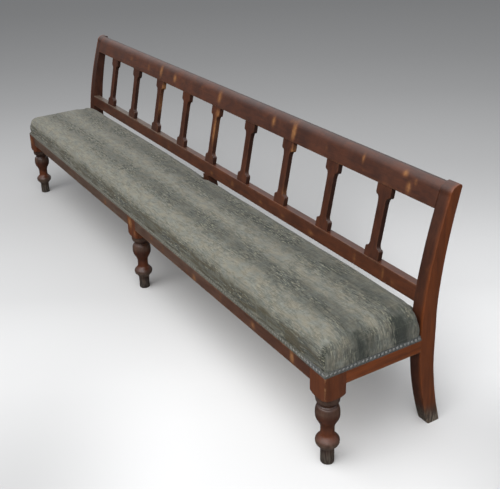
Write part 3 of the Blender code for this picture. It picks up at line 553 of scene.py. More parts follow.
def wander(seed, *axes, shortest=0.15, longest=0.70, waves=6):
    """Gentle unevenness from -1 to 1: the mean of cosine waves of random length, direction and phase."""
    random = np.random.default_rng(seed)
    total = 0.0
    for _ in range(waves):
        length = random.uniform(shortest, longest)
        direction = random.normal(size=len(axes))
        direction /= np.linalg.norm(direction)
        phase = random.uniform(0, 2 * pi)
        along = sum(part * axis for part, axis in zip(direction, axes))
        total = total + np.cos(2 * pi * along / length + phase)
    return total / waves


def worn_arris(seed, along, radius):
    """The rounding of an arris at stations: its radius, a little more or less along the way."""
    return radius * (1 + ARRIS_WAVE_SHARE * wander(seed, along, shortest=0.05, longest=0.3))


def stations(start, end, step=STATION_STEP):
    """Even places from start to end, about a step apart."""
    return np.linspace(start, end, max(2, round(abs(end - start) / step) + 1))


def quarter(start, end, steps, start_upright):
    """Points of a quarter ellipse after start up to end: one share is 1 - cos, the other is sin."""
    angle = pi / 2 * np.arange(1, steps + 1) / steps
    slow, fast = 1 - np.cos(angle), np.sin(angle)
    first, second = (slow, fast) if start_upright else (fast, slow)
    return combined(start[0] + (end[0] - start[0]) * first, start[1] + (end[1] - start[1]) * second)


def half_wave(start, end, steps):
    """Points of a smooth S after start up to end: the radius follows half a cosine."""
    share = np.arange(1, steps + 1) / steps
    swell = (1 - np.cos(pi * share)) / 2
    return combined(start[0] + (end[0] - start[0]) * swell, start[1] + (end[1] - start[1]) * share)


def rounded_sections(low, high, radius):
    """Rounded rectangles, one for each station, and how near each of their points is to an arris.

    A corner's points are its centre + radius * (cos a, sin a), a through one right angle. Between
    two corners the flat has a few points of its own, at fixed shares of its width."""
    low, high = np.atleast_2d(low).astype(float), np.atleast_2d(high).astype(float)
    count = max(len(low), len(high), np.size(radius))
    low, high = np.broadcast_to(low, (count, 2)), np.broadcast_to(high, (count, 2))
    radius = np.broadcast_to(radius, count)[:, None]
    corners = []
    for turn, signs in enumerate(((1, 1), (-1, 1), (-1, -1), (1, -1))):
        centre = np.where(np.array(signs) > 0, high - radius, low + radius)
        angle = pi / 2 * (turn + np.arange(ARC_STEPS + 1) / ARC_STEPS)
        corners.append(centre[:, None] + radius[:, :, None] * combined(np.cos(angle), np.sin(angle)))
    rows, arris = [], []
    for turn, corner in enumerate(corners):
        start, end = corner[:, -1:], corners[(turn + 1) % 4][:, :1]
        rows += [corner, start + (end - start) * FLAT_SHARES[None, :, None]]
        arris += [1.0] * (ARC_STEPS + 1) + [0.0] * len(FLAT_SHARES)
    return np.concatenate(rows, 1), np.array(arris)


def tube_faces(count, around, capped=True):
    """Quads between each ring of points and the next, and a cap on the first and the last ring."""
    first = np.arange(count - 1)[:, None] * around + np.arange(around)
    second = np.arange(count - 1)[:, None] * around + (np.arange(around) + 1) % around
    quads = combined(first, second, second + around, first + around).reshape(-1, 4).tolist()
    if capped:
        last = (count - 1) * around
        quads += [list(range(around))[::-1], list(range(last, last + around))]
    return quads


def linked(name, data):
    """A new object with its data, linked to the scene."""
    piece = bpy.data.objects.new(name, data)
    bpy.context.scene.collection.objects.link(piece)
    return piece


def refinish(word, material):
    """Gives one material to the frame's nodes that have a word in their names."""
    for name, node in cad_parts.items():
        if word in name:
            node.data.materials.clear()
            node.data.materials.append(material)


def add_piece(name, points, faces, material, slot, replaced=(), sharp=0.7, **fields):
    """A mesh from its points and faces, with its point attributes, finish and body. The slot is not used."""
    mesh = bpy.data.meshes.new(name)
    mesh.from_pydata(np.reshape(points, (-1, 3)).tolist(), [], faces)
    for title, values in fields.items():
        layer = mesh.attributes.new(title, "FLOAT", "POINT")
        layer.data.foreach_set("value", np.ravel(values).astype(np.float32))
    mesh.shade_smooth()
    mesh.set_sharp_from_angle(angle=sharp)
    mesh.materials.append(material)
    piece = linked(name, mesh)
    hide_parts(*replaced)
    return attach(piece, BODY)


# Places where the varnish has worn through: along the bench, height, half length, half height, strength
BARE_PATCHES = {
    "crest_rail": (
        (-0.44, 0.853, 0.022, 0.024, 1.0), (-0.34, 0.858, 0.030, 0.022, 0.4),
        (-0.232, 0.875, 0.022, 0.012, 0.4), (-0.156, 0.866, 0.018, 0.014, 0.5),
        (0.017, 0.858, 0.020, 0.038, 0.9), (0.213, 0.855, 0.016, 0.014, 0.4),
        (0.472, 0.858, 0.016, 0.026, 1.0), (0.624, 0.855, 0.017, 0.042, 1.1),
        (0.600, 0.885, 0.040, 0.012, 0.5), (0.844, 0.848, 0.012, 0.016, 0.5),
        (1.060, 0.868, 0.012, 0.022, 0.80), (1.076, 0.828, 0.014, 0.008, 0.5),
        (1.279, 0.878, 0.016, 0.014, 0.90), (1.309, 0.840, 0.015, 0.024, 0.90),
        (1.335, 0.866, 0.012, 0.014, 0.7), (1.196, 0.817, 0.020, 0.004, 0.6),
        (-0.98, 0.855, 0.024, 0.018, 0.6), (-0.75, 0.850, 0.020, 0.030, 0.6),
        (-0.60, 0.858, 0.020, 0.038, 1.0), (-1.15, 0.848, 0.024, 0.014, 0.5),
    ),
    "lower_back_rail": (
        (-0.411, 0.512, 0.018, 0.012, 0.7), (-0.206, 0.518, 0.020, 0.012, 0.6),
        (0.044, 0.508, 0.020, 0.010, 0.8), (0.236, 0.516, 0.018, 0.014, 0.9),
        (0.472, 0.514, 0.020, 0.010, 0.9), (0.644, 0.508, 0.018, 0.010, 0.7),
        (0.844, 0.508, 0.024, 0.016, 0.7), (1.116, 0.516, 0.010, 0.020, 0.8),
        (1.272, 0.520, 0.008, 0.030, 0.9), (1.328, 0.506, 0.014, 0.010, 0.7),
        (1.280, 0.549, 0.030, 0.004, 0.7), (-0.95, 0.512, 0.024, 0.012, 0.6),
        (-1.2, 0.512, 0.020, 0.012, 0.6),
    ),
    "front_rail": (
        (0.551, 0.335, 0.016, 0.012, 0.6), (0.617, 0.332, 0.020, 0.020, 0.9),
        (0.830, 0.345, 0.012, 0.020, 0.7), (0.865, 0.330, 0.010, 0.014, 0.6),
        (1.063, 0.342, 0.018, 0.018, 0.9), (1.309, 0.345, 0.015, 0.034, 1.1),
        (0.335, 0.345, 0.014, 0.016, 0.8), (0.220, 0.350, 0.020, 0.014, 0.8),
        (-0.310, 0.340, 0.016, 0.020, 0.9), (-0.140, 0.340, 0.020, 0.014, 0.6),
        (-0.450, 0.350, 0.016, 0.012, 0.5), (-0.80, 0.340, 0.022, 0.016, 0.6),
        (-1.15, 0.350, 0.024, 0.010, 0.6),
    ),
    "back_splat_3": ((-0.558, 0.77, 0.012, 0.045, 1.0), (-0.572, 0.69, 0.009, 0.080, 1.1)),
    "back_splat_5": (
        (0.020, 0.785, 0.020, 0.022, 1.0), (0.010, 0.70, 0.011, 0.090, 1.1),
        (0.020, 0.575, 0.014, 0.02, 0.6),
    ),
    "back_splat_7": (
        (0.632, 0.780, 0.010, 0.030, 0.9), (0.636, 0.70, 0.005, 0.06, 0.7), (0.615, 0.60, 0.012, 0.03, 0.6),
    ),
    "back_splat_8": ((0.865, 0.790, 0.008, 0.010, 0.6),),
    "rear_post_right": ((1.47, 0.62, 0.012, 0.012, 0.5),),
    "front_leg_middle": ((-0.012, 0.340, 0.030, 0.036, 1.0), (0.030, 0.300, 0.016, 0.020, 0.8)),
    "front_leg_left": ((-1.466, 0.335, 0.026, 0.034, 0.9), (-1.440, 0.300, 0.016, 0.014, 0.5)),
}


def bare_field(name, points):
    """How bare the wood is at each point: the strongest of its patches, each a bell in X and Z."""
    field = np.zeros(points.shape[:-1])
    patches = [patch for key, rows in BARE_PATCHES.items() if name.startswith(key) for patch in rows]
    for x, z, wide, high, strength in patches:
        reach = ((points[..., 0] - x) / wide) ** 2 + ((points[..., 2] - z) / high) ** 2
        field = np.maximum(field, strength * np.exp(-reach))
    return field


def warm_ends(points):
    """1 on the faces at the bench's two ends, 0 elsewhere."""
    return smooth_share(np.abs(points[..., 0]), *END_FACE)


def add_wood(name, points, arris, material, slot="frame_wood", tone=0.0, faded=0.0):
    """The surface of one node: its rings of points, with the fields that the wood's finish reads."""
    arris, tone, faded = (np.broadcast_to(field, points.shape[:2]) for field in (arris, tone, faded))
    return add_piece(
        name + "_wood", points, tube_faces(*points.shape[:2]), material, slot, [name],
        arris=arris, bare=bare_field(name, points), tone=tone, faded=faded,
    )


def turned_to(sections, along, grain):
    """Sections set out along one axis: their two numbers are the next two axes in the order X, Y, Z."""
    points = np.empty((*sections.shape[:2], 3))
    points[..., grain] = np.broadcast_to(np.asarray(along)[:, None], sections.shape[:2])
    points[..., (grain + 1) % 3] = sections[..., 0]
    points[..., (grain + 2) % 3] = sections[..., 1]
    return points


def straight_bar(low, high, grain, radius, seed):
    """A planed bar between two corners, along one axis, its faces and arrises a little uneven."""
    low, high = np.array(low, float), np.array(high, float)
    along = stations(low[grain], high[grain])
    across = [(grain + 1) % 3, (grain + 2) % 3]
    wave = combined(*(wander(seed + turn, along) for turn in range(4))) * PLANE_WAVE
    softness = worn_arris(seed + 9, along, radius)
    low, high = low[across] + np.abs(wave[:, :2]), high[across] - np.abs(wave[:, 2:])
    sections, arris = rounded_sections(low, high, softness)
    return turned_to(sections, along, grain), arris


def post_front(z):
    """Depth of a rear post's front edge: upright at the seat, swept back by a power above and below it."""
    above = np.clip((z - POST_KNEE) / (BACK_END - POST_KNEE), 0, None) ** BACK_POWER
    below = np.clip((RAIL_BOTTOM - z) / RAIL_BOTTOM, 0, None) ** FOOT_POWER
    return POST_FRONT + BACK_SWEEP * above + POST_FOOT_SWEEP * below


def post_rear(z):
    """The rear edge: deepest at the seat and tapering evenly to the top and to the foot."""
    above = np.clip((z - POST_KNEE) / (BACK_END - POST_KNEE), 0, None)
    below = np.clip((RAIL_BOTTOM - z) / RAIL_BOTTOM, 0, None)
    taper = (POST_TOP_DEPTH - POST_SEAT_DEPTH) * above + (POST_FOOT_DEPTH - POST_SEAT_DEPTH) * below
    return post_front(z) + POST_SEAT_DEPTH + taper


def lean_at(z, half_span):
    return atan2(post_front(z + half_span) - post_front(z - half_span), 2 * half_span)


CREST_LEAN = lean_at(BENCH_HEIGHT - POST_PROUD - CREST_HEIGHT / 2, CREST_HEIGHT / 2 - TOP_REAR_ROUND)
CREST_Z = BENCH_HEIGHT - POST_PROUD - CREST_HEIGHT * cos(CREST_LEAN) + CREST_RIDGE * sin(CREST_LEAN)
CREST_Y = post_front(CREST_Z) - CREST_PROUD
LOWER_LEAN = lean_at(LOWER_TOP - LOWER_HEIGHT / 2, LOWER_HEIGHT / 2)
LOWER_Z = LOWER_TOP - LOWER_HEIGHT * cos(LOWER_LEAN)
LOWER_Y = post_front(LOWER_Z) + LOWER_SETBACK


def leaned(back, up, y, z, lean):
    """Depth and height in the bench of a point of a leaning rail's section."""
    return y + back * cos(lean) + up * sin(lean), z - back * sin(lean) + up * cos(lean)


def make_posts(materials, sizes):
    """Two rear posts: rounded rectangles stacked up the height, closing on a ridge at the top."""
    top_share = np.sin(np.linspace(0, pi / 2, TOP_STEPS)[1:])
    round_start = BENCH_HEIGHT - TOP_FRONT_ROUND
    z = np.concatenate((stations(0, round_start), round_start + TOP_FRONT_ROUND * top_share))
    ridge = REAR - TOP_REAR_ROUND
    share = np.clip((z - round_start) / TOP_FRONT_ROUND, 0, 1)
    start = post_front(round_start)
    front = np.where(z > round_start, start + (ridge - start) * (1 - np.sqrt(1 - share ** 2)), post_front(z))
    back_share = np.clip((z - BACK_END) / TOP_REAR_ROUND, 0, 1)
    top_rear = post_rear(BACK_END)
    rear = np.where(z > BACK_END, ridge + (top_rear - ridge) * np.sqrt(1 - back_share ** 2), post_rear(z))
    for name, side in SIDES:
        inner, outer = sorted((side * POST_INNER, side * HALF_LENGTH))
        wave = np.abs(wander(3 + side, z)) * PLANE_WAVE
        low = combined(inner + wave, front)
        high = combined(outer - wave, np.maximum(rear, front + LEAST_DEPTH))
        softness = sizes.arris * (1.1 + 0.5 * wander(5 + side, z, shortest=0.04, longest=0.3))
        softness = softness + FOOT_ROUND * (1 - smooth_share(z, 0, FOOT_WEAR))
        softness = np.minimum(softness, (high - low).min(1) * LARGEST_ROUND)
        sections, arris = rounded_sections(low, high, softness)
        points = turned_to(sections, z, 2)
        height, ends = points[..., 2], warm_ends(points)
        tone = ends * 0.62 - (1 - ends) * (0.10 + 0.20 * smooth_share(height, *POST_DARK))
        faded = 0.85 * (1 - smooth_share(height, *POST_FADE)) * (0.4 + 0.6 * ends)
        arris = arris * (0.04 + 1.3 * (1 - smooth_share(height, *POST_RUBBED)))
        add_wood("rear_post_" + name, points, arris, materials["z"], tone=tone, faded=faded)


def make_middle_leg(materials, sizes):
    """The middle rear leg: like the posts' lower half, its head cut to the lower back rail's slope."""
    share = stations(0, 1, MIDDLE_STEP)
    head = LOWER_Z - JOINT_GAP
    z = share * head
    top_rear = leaned(LOWER_THICKNESS, 0, LOWER_Y, LOWER_Z, LOWER_LEAN)[0]
    rear = post_rear(np.minimum(z, RAIL_TOP))
    rear = rear + (top_rear - rear) * np.clip((z - RAIL_TOP) / (head - RAIL_TOP), 0, 1)
    low = combined(-MIDDLE_HALF, post_front(np.minimum(z, POST_KNEE)))
    sections, arris = rounded_sections(low, combined(MIDDLE_HALF, rear), sizes.arris)
    points = turned_to(sections, z, 2)
    slope = np.tan(LOWER_LEAN) * (points[..., 1] - LOWER_Y)
    points[..., 2] -= slope * share[:, None] ** SLOPE_POWER
    add_wood("rear_leg_middle", points, arris, materials["z"])


def crest_section():
    """The crest's section: flat face, an elliptic sweep up to the ridge near the back, and a flat rear.

    Each row of points comes with how sharp the edge is there."""
    rear_top = (CREST_THICKNESS, CREST_HEIGHT - CREST_REAR_DROP)
    ridge = (CREST_RIDGE, CREST_HEIGHT)
    rows = (
        (1, quarter((CREST_THICKNESS - CREST_ARRIS, 0), (CREST_THICKNESS, CREST_ARRIS), 3, False)),
        (0, combined(CREST_THICKNESS, np.linspace(0.02, 0.078, 4))),
        (1, [rear_top]),
        (0.4, quarter(rear_top, ridge, 5, True)),
        (0, quarter(ridge, (0, CREST_FLAT), 18, False)),
        (0, combined(0.0, np.linspace(0.049, 0.007, 5))),
        (1, quarter((0, CREST_ARRIS), (CREST_ARRIS, 0), 3, True)),
        (0, combined(np.linspace(0.010, 0.030, 3), 0.0)),
    )
    sharpness = np.concatenate([np.full(len(row), sharp) for sharp, row in rows])
    return np.concatenate([row for _, row in rows]), sharpness


def make_back_rails(materials, sizes):
    """The crest rail and the lower back rail, between the posts and leaning with them."""
    reach = POST_INNER + JOINT_LAP
    x = stations(-reach, reach)
    lift = wander(21, x)[:, None] * PLANE_WAVE
    outline, arris = crest_section()
    y, z = leaned(outline[:, 0], outline[:, 1], CREST_Y, CREST_Z, CREST_LEAN)
    points = turned_to(combined(y + lift, z), x, 0)
    far = smooth_share(-points[..., 0], *CREST_LIGHT)
    ridge = smooth_share(outline[:, 0], *CREST_BACK) * (outline[:, 1] > CREST_FLAT)
    tone = -0.06 + 0.16 * far - 0.60 * ridge
    add_wood("crest_rail", points, arris * 0.4, materials["x"], tone=tone)
    softness = worn_arris(24, x, sizes.arris)
    sections, arris = rounded_sections((0, 0), (LOWER_THICKNESS, LOWER_HEIGHT), softness)
    y, z = leaned(sections[..., 0], sections[..., 1], LOWER_Y, LOWER_Z, LOWER_LEAN)
    points = turned_to(combined(y + lift, z), x, 0)
    # Painted sheen: the top ledge is paled towards the far end
    faded = smooth_share(sections[..., 1], *LOWER_LEDGE) * smooth_share(-points[..., 0], *LOWER_FAR_SHEEN) * 0.80
    add_wood("lower_back_rail", points, arris * 0.4, materials["x"], tone=0.12, faded=faded)


def splat_profile(length):
    """Half width of a splat against the height up it: a block at each end, coved in to a plain shaft."""
    block, shaft = SPLAT_BLOCK / 2, SPLAT_SHAFT / 2
    mid = (block + shaft) / 2
    base_mid = (mid, SPLAT_BASE + SPLAT_BASE_ROUND)
    base_end = (shaft, base_mid[1] + SPLAT_BASE_COVE)
    top = length - SPLAT_TOP
    head_start, head_mid = (shaft, top - SPLAT_COVE), (mid, top - SPLAT_LEDGE)
    shaft_z = stations(base_end[1], head_start[1], 0.014)[1:]
    rows = [
        [(block, 0.0), (block, SPLAT_BASE * 0.5), (block, SPLAT_BASE)],
        quarter((block, SPLAT_BASE), base_mid, 7, True),
        quarter(base_mid, base_end, 7, False),
        combined(shaft, shaft_z),
        quarter(head_start, head_mid, 8, True),
        quarter(head_mid, (block, top), 6, False),
        [(block, top + SPLAT_TOP * 0.5), (block, length)],
    ]
    return np.concatenate(rows)


def make_splats(materials, sizes):
    """Nine flat boards: rounded sections of the outline's width, sheared to the slopes of both rails."""
    foot = leaned(SPLAT_LOW_SETBACK, LOWER_HEIGHT, LOWER_Y, LOWER_Z, LOWER_LEAN)
    head = leaned(SPLAT_TOP_SETBACK, 0, CREST_Y, CREST_Z, CREST_LEAN)
    run = np.subtract(head, foot)
    length = np.hypot(*run)
    lean = atan2(run[0], run[1])
    half, height = splat_profile(length).T
    share = height / length
    low, high = combined(-half, 0.0), combined(half, SPLAT_THICKNESS)
    sections, arris = rounded_sections(low, high, sizes.arris * 0.8)
    depth = sections[..., 1]
    foot_slip = depth * np.tan(lean - LOWER_LEAN)
    head_slip = depth * np.tan(lean - CREST_LEAN)
    up = height[:, None] + foot_slip * (1 - share[:, None]) + head_slip * share[:, None]
    reach = POST_INNER - SPLAT_END_BAY
    for number, x in enumerate(np.linspace(-reach, reach, SPLAT_COUNT), 1):
        points = combined(
            sections[..., 0] + x,
            foot[0] + up * sin(lean) + depth * cos(lean),
            foot[1] + up * cos(lean) - depth * sin(lean),
        )
        # Side faces darker: thick varnish, and painted shade between the splats
        edge = np.abs(sections[..., 0]) > half[:, None] - 0.0004
        tone = 0.25 * wander(40 + number, points[..., 0], points[..., 2]) - 0.50 * edge
        name = "back_splat_%d" % number
        add_wood(name, points, arris * 0.2, materials["z"], tone=tone)


def leg_profile():
    """The turning's radius and height from the floor up, and how sharp each point's edge is."""
    half = LEG_SQUARE / 2
    ways = {
        "straight": lambda start, end: np.linspace(start, end, 4)[1:],
        "bulge": lambda start, end: quarter(start, end, CURVE_STEPS, False),
        "shoulder": lambda start, end: quarter(start, end, CURVE_STEPS, True),
        "wave": lambda start, end: half_wave(start, end, CURVE_STEPS),
    }
    foot = TURNING_SHARES[0][1] * half
    rows = [np.array([(foot * 0.5, 0), (foot - FOOT_ROUND, 0)])]
    rows.append(quarter(rows[-1][-1], (foot, FOOT_ROUND), 4, False))
    for way, radius_share, height_share in TURNING_SHARES:
        rows.append(ways[way](rows[-1][-1], np.array((radius_share * half, height_share * TURNED_LENGTH))))
    corner = LEG_SQUARE / sqrt(2)
    rows.append(quarter(rows[-1][-1], (corner, TURNED_LENGTH), CURVE_STEPS, False))
    block = stations(TURNED_LENGTH, RAIL_TOP, 0.01)[1:]
    return np.concatenate((*rows, combined(corner, block)))


def make_front_legs(materials):
    """Three front legs on a polar grid: the radius is the turning's or the square block's, the lesser."""
    radius, z = leg_profile().T
    half = LEG_SQUARE / 2
    beside = 2 * LEG_ARRIS / LEG_SQUARE
    extra = [corner * pi / 2 + pi / 4 + turn for corner in range(4) for turn in (-beside, beside)]
    theta = np.arange(LEG_SIDES) * 2 * pi / LEG_SIDES
    theta = np.sort(np.concatenate((theta, np.array(extra) % (2 * pi))))
    flat = half / np.maximum(np.abs(np.cos(theta)), np.abs(np.sin(theta)))
    diagonal = (theta % (pi / 2)) - pi / 4
    square = np.minimum(flat, (half * sqrt(2) - LEG_ARRIS) / np.cos(diagonal))
    grid = np.minimum(radius[:, None], square[None])
    on_square = radius[:, None] >= square[None]
    corners = on_square * (1 - smooth_share(np.abs(diagonal)[None], *LEG_CORNER))
    places = {"left": half - HALF_LENGTH, "middle": 0.0, "right": HALF_LENGTH - half}
    for name, x in places.items():
        free_corner = smooth_share(np.cos(theta) * np.sign(x) - np.sin(theta), *LEG_FREE_CORNER)
        arris = corners * free_corner[None] * 1.7
        points = combined(x + grid * np.cos(theta), FRONT + half + grid * np.sin(theta), z[:, None])
        share = points[..., 2] / TURNED_LENGTH
        # Fading: wear on the lower ball, painted sheen on the upper ball's top and on the ring
        tone, faded = (np.interp(share, *zip(*shares)) for shares in (LEG_TONE_SHARES, LEG_FADE_AND_SHEEN_SHARES))
        add_wood("front_leg_" + name, points, arris, materials["turned"], tone=tone, faded=faded)


def make_seat_rails(materials, sizes):
    """Rails of the seat frame: front and rear ones along the bench, and those from front to back."""
    bars = []
    for name, side in SIDES:
        front_span = sorted((side * (LEG_SQUARE / 2 - JOINT_LAP), side * (LEG_LOW.x + JOINT_LAP)))
        rear_span = sorted((side * (MIDDLE_HALF + JOINT_GAP), side * (POST_INNER - JOINT_GAP)))
        side_span = (FRONT + LEG_SQUARE - JOINT_LAP, POST_FRONT + JOINT_LAP)
        brace_span = (RAIL_HIGH.y + JOINT_GAP, POST_FRONT - JOINT_GAP)
        bars += [
            ("front_rail_" + name, 0, front_span), ("rear_rail_" + name, 0, rear_span),
            ("side_rail_" + name, 1, side_span), ("brace_rail_" + name, 1, brace_span),
        ]
    bars.append(("cross_rail_middle", 1, (FRONT + LEG_SQUARE + JOINT_GAP, POST_FRONT - JOINT_GAP)))
    for number, (node, grain, span) in enumerate(bars):
        low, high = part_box(node)
        low[grain], high[grain] = span
        points, arris = straight_bar(low, high, grain, sizes.arris, 60 + 10 * number)
        tone = 0.80 if node.startswith("side") else 0.12
        faded = 0.0
        if node.startswith("front"):
            faded = np.interp(points[..., 0], *zip(*RAIL_FADE_SHARES))
        material, slot = materials["xy"[grain]], "frame_wood"
        if node.startswith(("brace", "cross", "rear")):
            material, slot = materials["under"], "underframe_wood"
        add_wood(node, points, arris, material, slot, tone, faded)


def box_lattice(places):
    """Points, quads and flat cover coordinates of a box's six sides, cut at the given places.

    The cover coordinates are X and Y, carried on past the box's edge by the drop below the top."""
    points, quads, flats, used = [], [], [], 0
    top = places[2][-1]
    for axis in range(3):
        first, second = places[(axis + 1) % 3], places[(axis + 2) % 3]
        for end, sign in ((0, -1), (-1, 1)):
            grid = np.empty((len(first), len(second), 3))
            grid[..., axis] = places[axis][end]
            grid[..., (axis + 1) % 3] = first[:, None]
            grid[..., (axis + 2) % 3] = second[None]
            index = used + np.arange(grid[..., 0].size).reshape(grid.shape[:2])
            ring = [index[:-1, :-1], index[1:, :-1], index[1:, 1:], index[:-1, 1:]][::sign]
            quads.append(combined(*ring).reshape(-1, 4))
            flat = grid[..., :2].copy()
            if axis < 2:
                flat[..., axis] += sign * (top - grid[..., 2])
            points.append(grid.reshape(-1, 3))
            flats.append(flat.reshape(-1, 2))
            used += index.size
    points, quads, flats = np.concatenate(points), np.concatenate(quads), np.concatenate(flats)
    keys = np.round(points * 1e5).astype(np.int64)
    _, kept, merged = np.unique(keys, axis=0, return_index=True, return_inverse=True)
    merged = merged.reshape(-1)
    return points[kept], merged[quads], flats[quads]


def cuts(*corners):
    """Places between each corner and the next, a seat cell or less apart."""
    counts = [max(2, int(np.ceil((b - a) / SEAT_CELL)) + 1) for a, b in zip(corners, corners[1:])]
    parts = [np.linspace(*ends) for ends in zip(corners, corners[1:], counts)]
    return np.unique(np.round(np.concatenate(parts), 6))


def padded_form(box, low, high):
    """Bends the box's points into the stuffed seat.

    Past the shoulders a point lies at the rounding's centre + radius * d / |d|, where |d| is a
    p-norm: 2 near the top, and more towards the foot, which is squarer. Then the top is crowned,
    the foot drawn in, the rear edge let in round posts and middle leg, and the underside let up."""
    roof = np.array((low[0] + SEAT_ROUND[0], low[1] + SEAT_ROUND[1], low[2] - 1))
    inner = np.clip(box, roof, high - SEAT_ROUND)
    away = (box - inner) / SEAT_ROUND
    rise = box[:, 2:] - low[2]
    power = 2 + SQUARENESS * (1 - smooth_share(rise, 0, SQUARE_RISE))
    largest = np.abs(away).max(1, keepdims=True)
    norm = (np.abs(away) ** power).sum(1, keepdims=True) ** (1 / power)
    points = inner + SEAT_ROUND * away * np.where(norm > 0, largest / np.maximum(norm, 1e-9), 0)
    middle, half = (low + high) / 2, (high - low) / 2
    across = (points - middle) / half
    crown = (1 - across[:, 1] ** 2) * (1 - across[:, 0] ** 40)
    points[:, 2] += SEAT_CROWN * crown * (points[:, 2] - low[2]) / (high[2] - low[2])
    foot = 1 - smooth_share(points[:, 2], low[2], TUCK_RISE)
    inside = np.abs(box[:, 2] - low[2]) < 1e-6
    rim = ROOM_RIM * 0.9
    for axis in (0, 1):
        points[:, axis] -= SEAT_TUCK * foot * np.clip(across[:, axis], -1, 1) ** 9
        inside &= (box[:, axis] > low[axis] + rim) & (box[:, axis] < high[axis] - rim)
    points[inside, 2] += ROOM_ROOF
    return let_in(points, box, high)


def let_in(points, box, high):
    """Squeezes the rear edge forwards at the posts and at the middle leg, within one narrow cell."""
    along, slack = np.abs(box[:, 0]), 2 * JOINT_GAP
    notch = (along > POST_INNER - slack) | (along < MIDDLE_HIGH.x + slack)
    past = np.clip(points[:, 1] - NOTCH_START, 0, None)
    squeeze = (POST_FRONT - JOINT_GAP - NOTCH_START) / (high[1] - NOTCH_START)
    points[:, 1] = np.where(notch & (past > 0), NOTCH_START + past * squeeze, points[:, 1])
    return points


def swollen(points, quads, tacked):
    """The cover blown up from inside as cloth, its tacked foot held; no point moves past the cap."""
    mesh = bpy.data.meshes.new("cover_cloth")
    mesh.from_pydata(points.tolist(), [], quads.tolist())
    piece = linked("cover_cloth", mesh)
    held = piece.vertex_groups.new(name="tacked")
    held.add(np.flatnonzero(tacked).tolist(), 1.0, "REPLACE")
    cloth = piece.modifiers.new("blown", "CLOTH")
    for name, value in SWELL_SETTINGS.items():
        setattr(cloth.settings, name, value)
    cloth.settings.effector_weights.gravity = 0
    cloth.settings.vertex_group_mass = held.name
    cloth.point_cache.frame_start = 1
    cloth.point_cache.frame_end = SWELL_FRAMES
    scene = bpy.context.scene
    for step in range(1, SWELL_FRAMES + 1):
        scene.frame_set(step)
    blown = piece.evaluated_get(bpy.context.evaluated_depsgraph_get()).data
    moved = np.empty(points.size, np.float32)
    blown.vertices.foreach_get("co", moved)
    scene.frame_set(1)
    bpy.data.objects.remove(piece)
    bpy.data.meshes.remove(mesh)
    shift = moved.reshape(-1, 3) - points
    length = np.linalg.norm(shift, axis=1, keepdims=True)
    return points + shift * np.minimum(1, SWELL_CAP / np.maximum(length, 1e-9))


def outward(points, quads):
    """Unit normals of the points: the sums of their quads' normals."""
    corners = points[quads]
    normals = np.cross(corners[:, 2] - corners[:, 0], corners[:, 3] - corners[:, 1])
    total = np.zeros_like(points)
    for turn in range(4):
        np.add.at(total, quads[:, turn], normals)
    return total / np.maximum(np.linalg.norm(total, axis=1, keepdims=True), 1e-12)


def make_cover(material):
    """The stuffed seat in its cloth, with soft hollows where people sat and small pulls at the tacks."""
    low, high = np.array(SEAT_LOW), np.array(SEAT_HIGH)
    high[2] -= SEAT_CROWN
    inner, leg = POST_INNER - JOINT_GAP, MIDDLE_HIGH.x + JOINT_GAP
    half = cuts(leg, leg + NOTCH_CELL, inner - NOTCH_CELL, inner, high[0])
    places = (
        np.unique(np.round(np.concatenate((-half, cuts(-leg, leg), half)), 6)),
        cuts(low[1], low[1] + ROOM_RIM, high[1] - ROOM_RIM, high[1]), cuts(low[2], high[2]),
    )
    box, quads, flats = box_lattice(places)
    points = padded_form(box, low, high)
    rise = points[:, 2] - low[2]
    along = np.abs(box[:, 0])
    notched = (points[:, 1] > NOTCH_START) & ((along > inner - NOTCH_HOLD) | (along < leg + NOTCH_HOLD))
    tacked = (rise < TACKED_RISE) | notched
    points = swollen(points, quads, tacked)
    normals = outward(points, quads)
    free = smooth_share(rise, 0, FREE_RISE)
    hollow = SEAT_WAVE * wander(71, box[:, 0], box[:, 1] * 2, box[:, 2] * 2, waves=9)
    pull = FOOT_WAVE * wander(72, box[:, 0], box[:, 1], shortest=0.018, longest=0.06, waves=5)
    near_foot = np.exp(-rise / PULL_RISE) * smooth_share(rise, 0, TACKED_RISE)
    points = points + normals * (hollow * free + pull * near_foot)[:, None]
    bulge = REAR_BULGE * np.exp(-((box[:, 0] - BULGE_PLACE) / BULGE_REACH) ** 2)
    points[:, 2] += bulge * smooth_share(box[:, 1], 0, BULGE_DEPTH) * free
    far_end = smooth_share(FAR_SWELL_REACH - high[0] - box[:, 0], 0, FAR_SWELL_REACH)
    far_end = far_end * smooth_share(rise, 0, FAR_SWELL_RISE)
    points[:, 0] -= FAR_SWELL * far_end * smooth_share(FAR_SWELL_REAR - box[:, 1], 0, FAR_SWELL_FADE)
    cover = add_piece(
        "seat_cover_cloth", points, quads.tolist(), material, "seat_cover", ["seat_upholstery"], sharp=1.2
    )
    layer = cover.data.uv_layers.new(name="cover")
    layer.data.foreach_set("uv", flats.reshape(-1).astype(np.float32))
    smooth = cover.modifiers.new("soft", "SUBSURF")
    smooth.levels = smooth.render_levels = 1


def foot_runs():
    """The braid's runs from above, each as two open paths: on the rails' faces and at the cover's foot."""
    lines = []
    for front, rear, end in (
        (FRONT - BRAID_OFF, REAR_RAIL_HIGH.y + BRAID_OFF, HALF_LENGTH + BRAID_OFF),
        (SEAT_LOW.y + SEAT_TUCK, SEAT_HIGH.y - SEAT_TUCK, SEAT_HIGH.x - SEAT_TUCK),
    ):
        face, inner, leg = POST_FRONT - BRAID_GAP, POST_INNER - BRAID_GAP, MIDDLE_HIGH.x + BRAID_GAP
        lines.append((
            [(-end, face), (-end, front), (end, front), (end, face)],
            [(inner, rear), (leg, rear)], [(-leg, rear), (-inner, rear)],
        ))
    return zip(*lines)


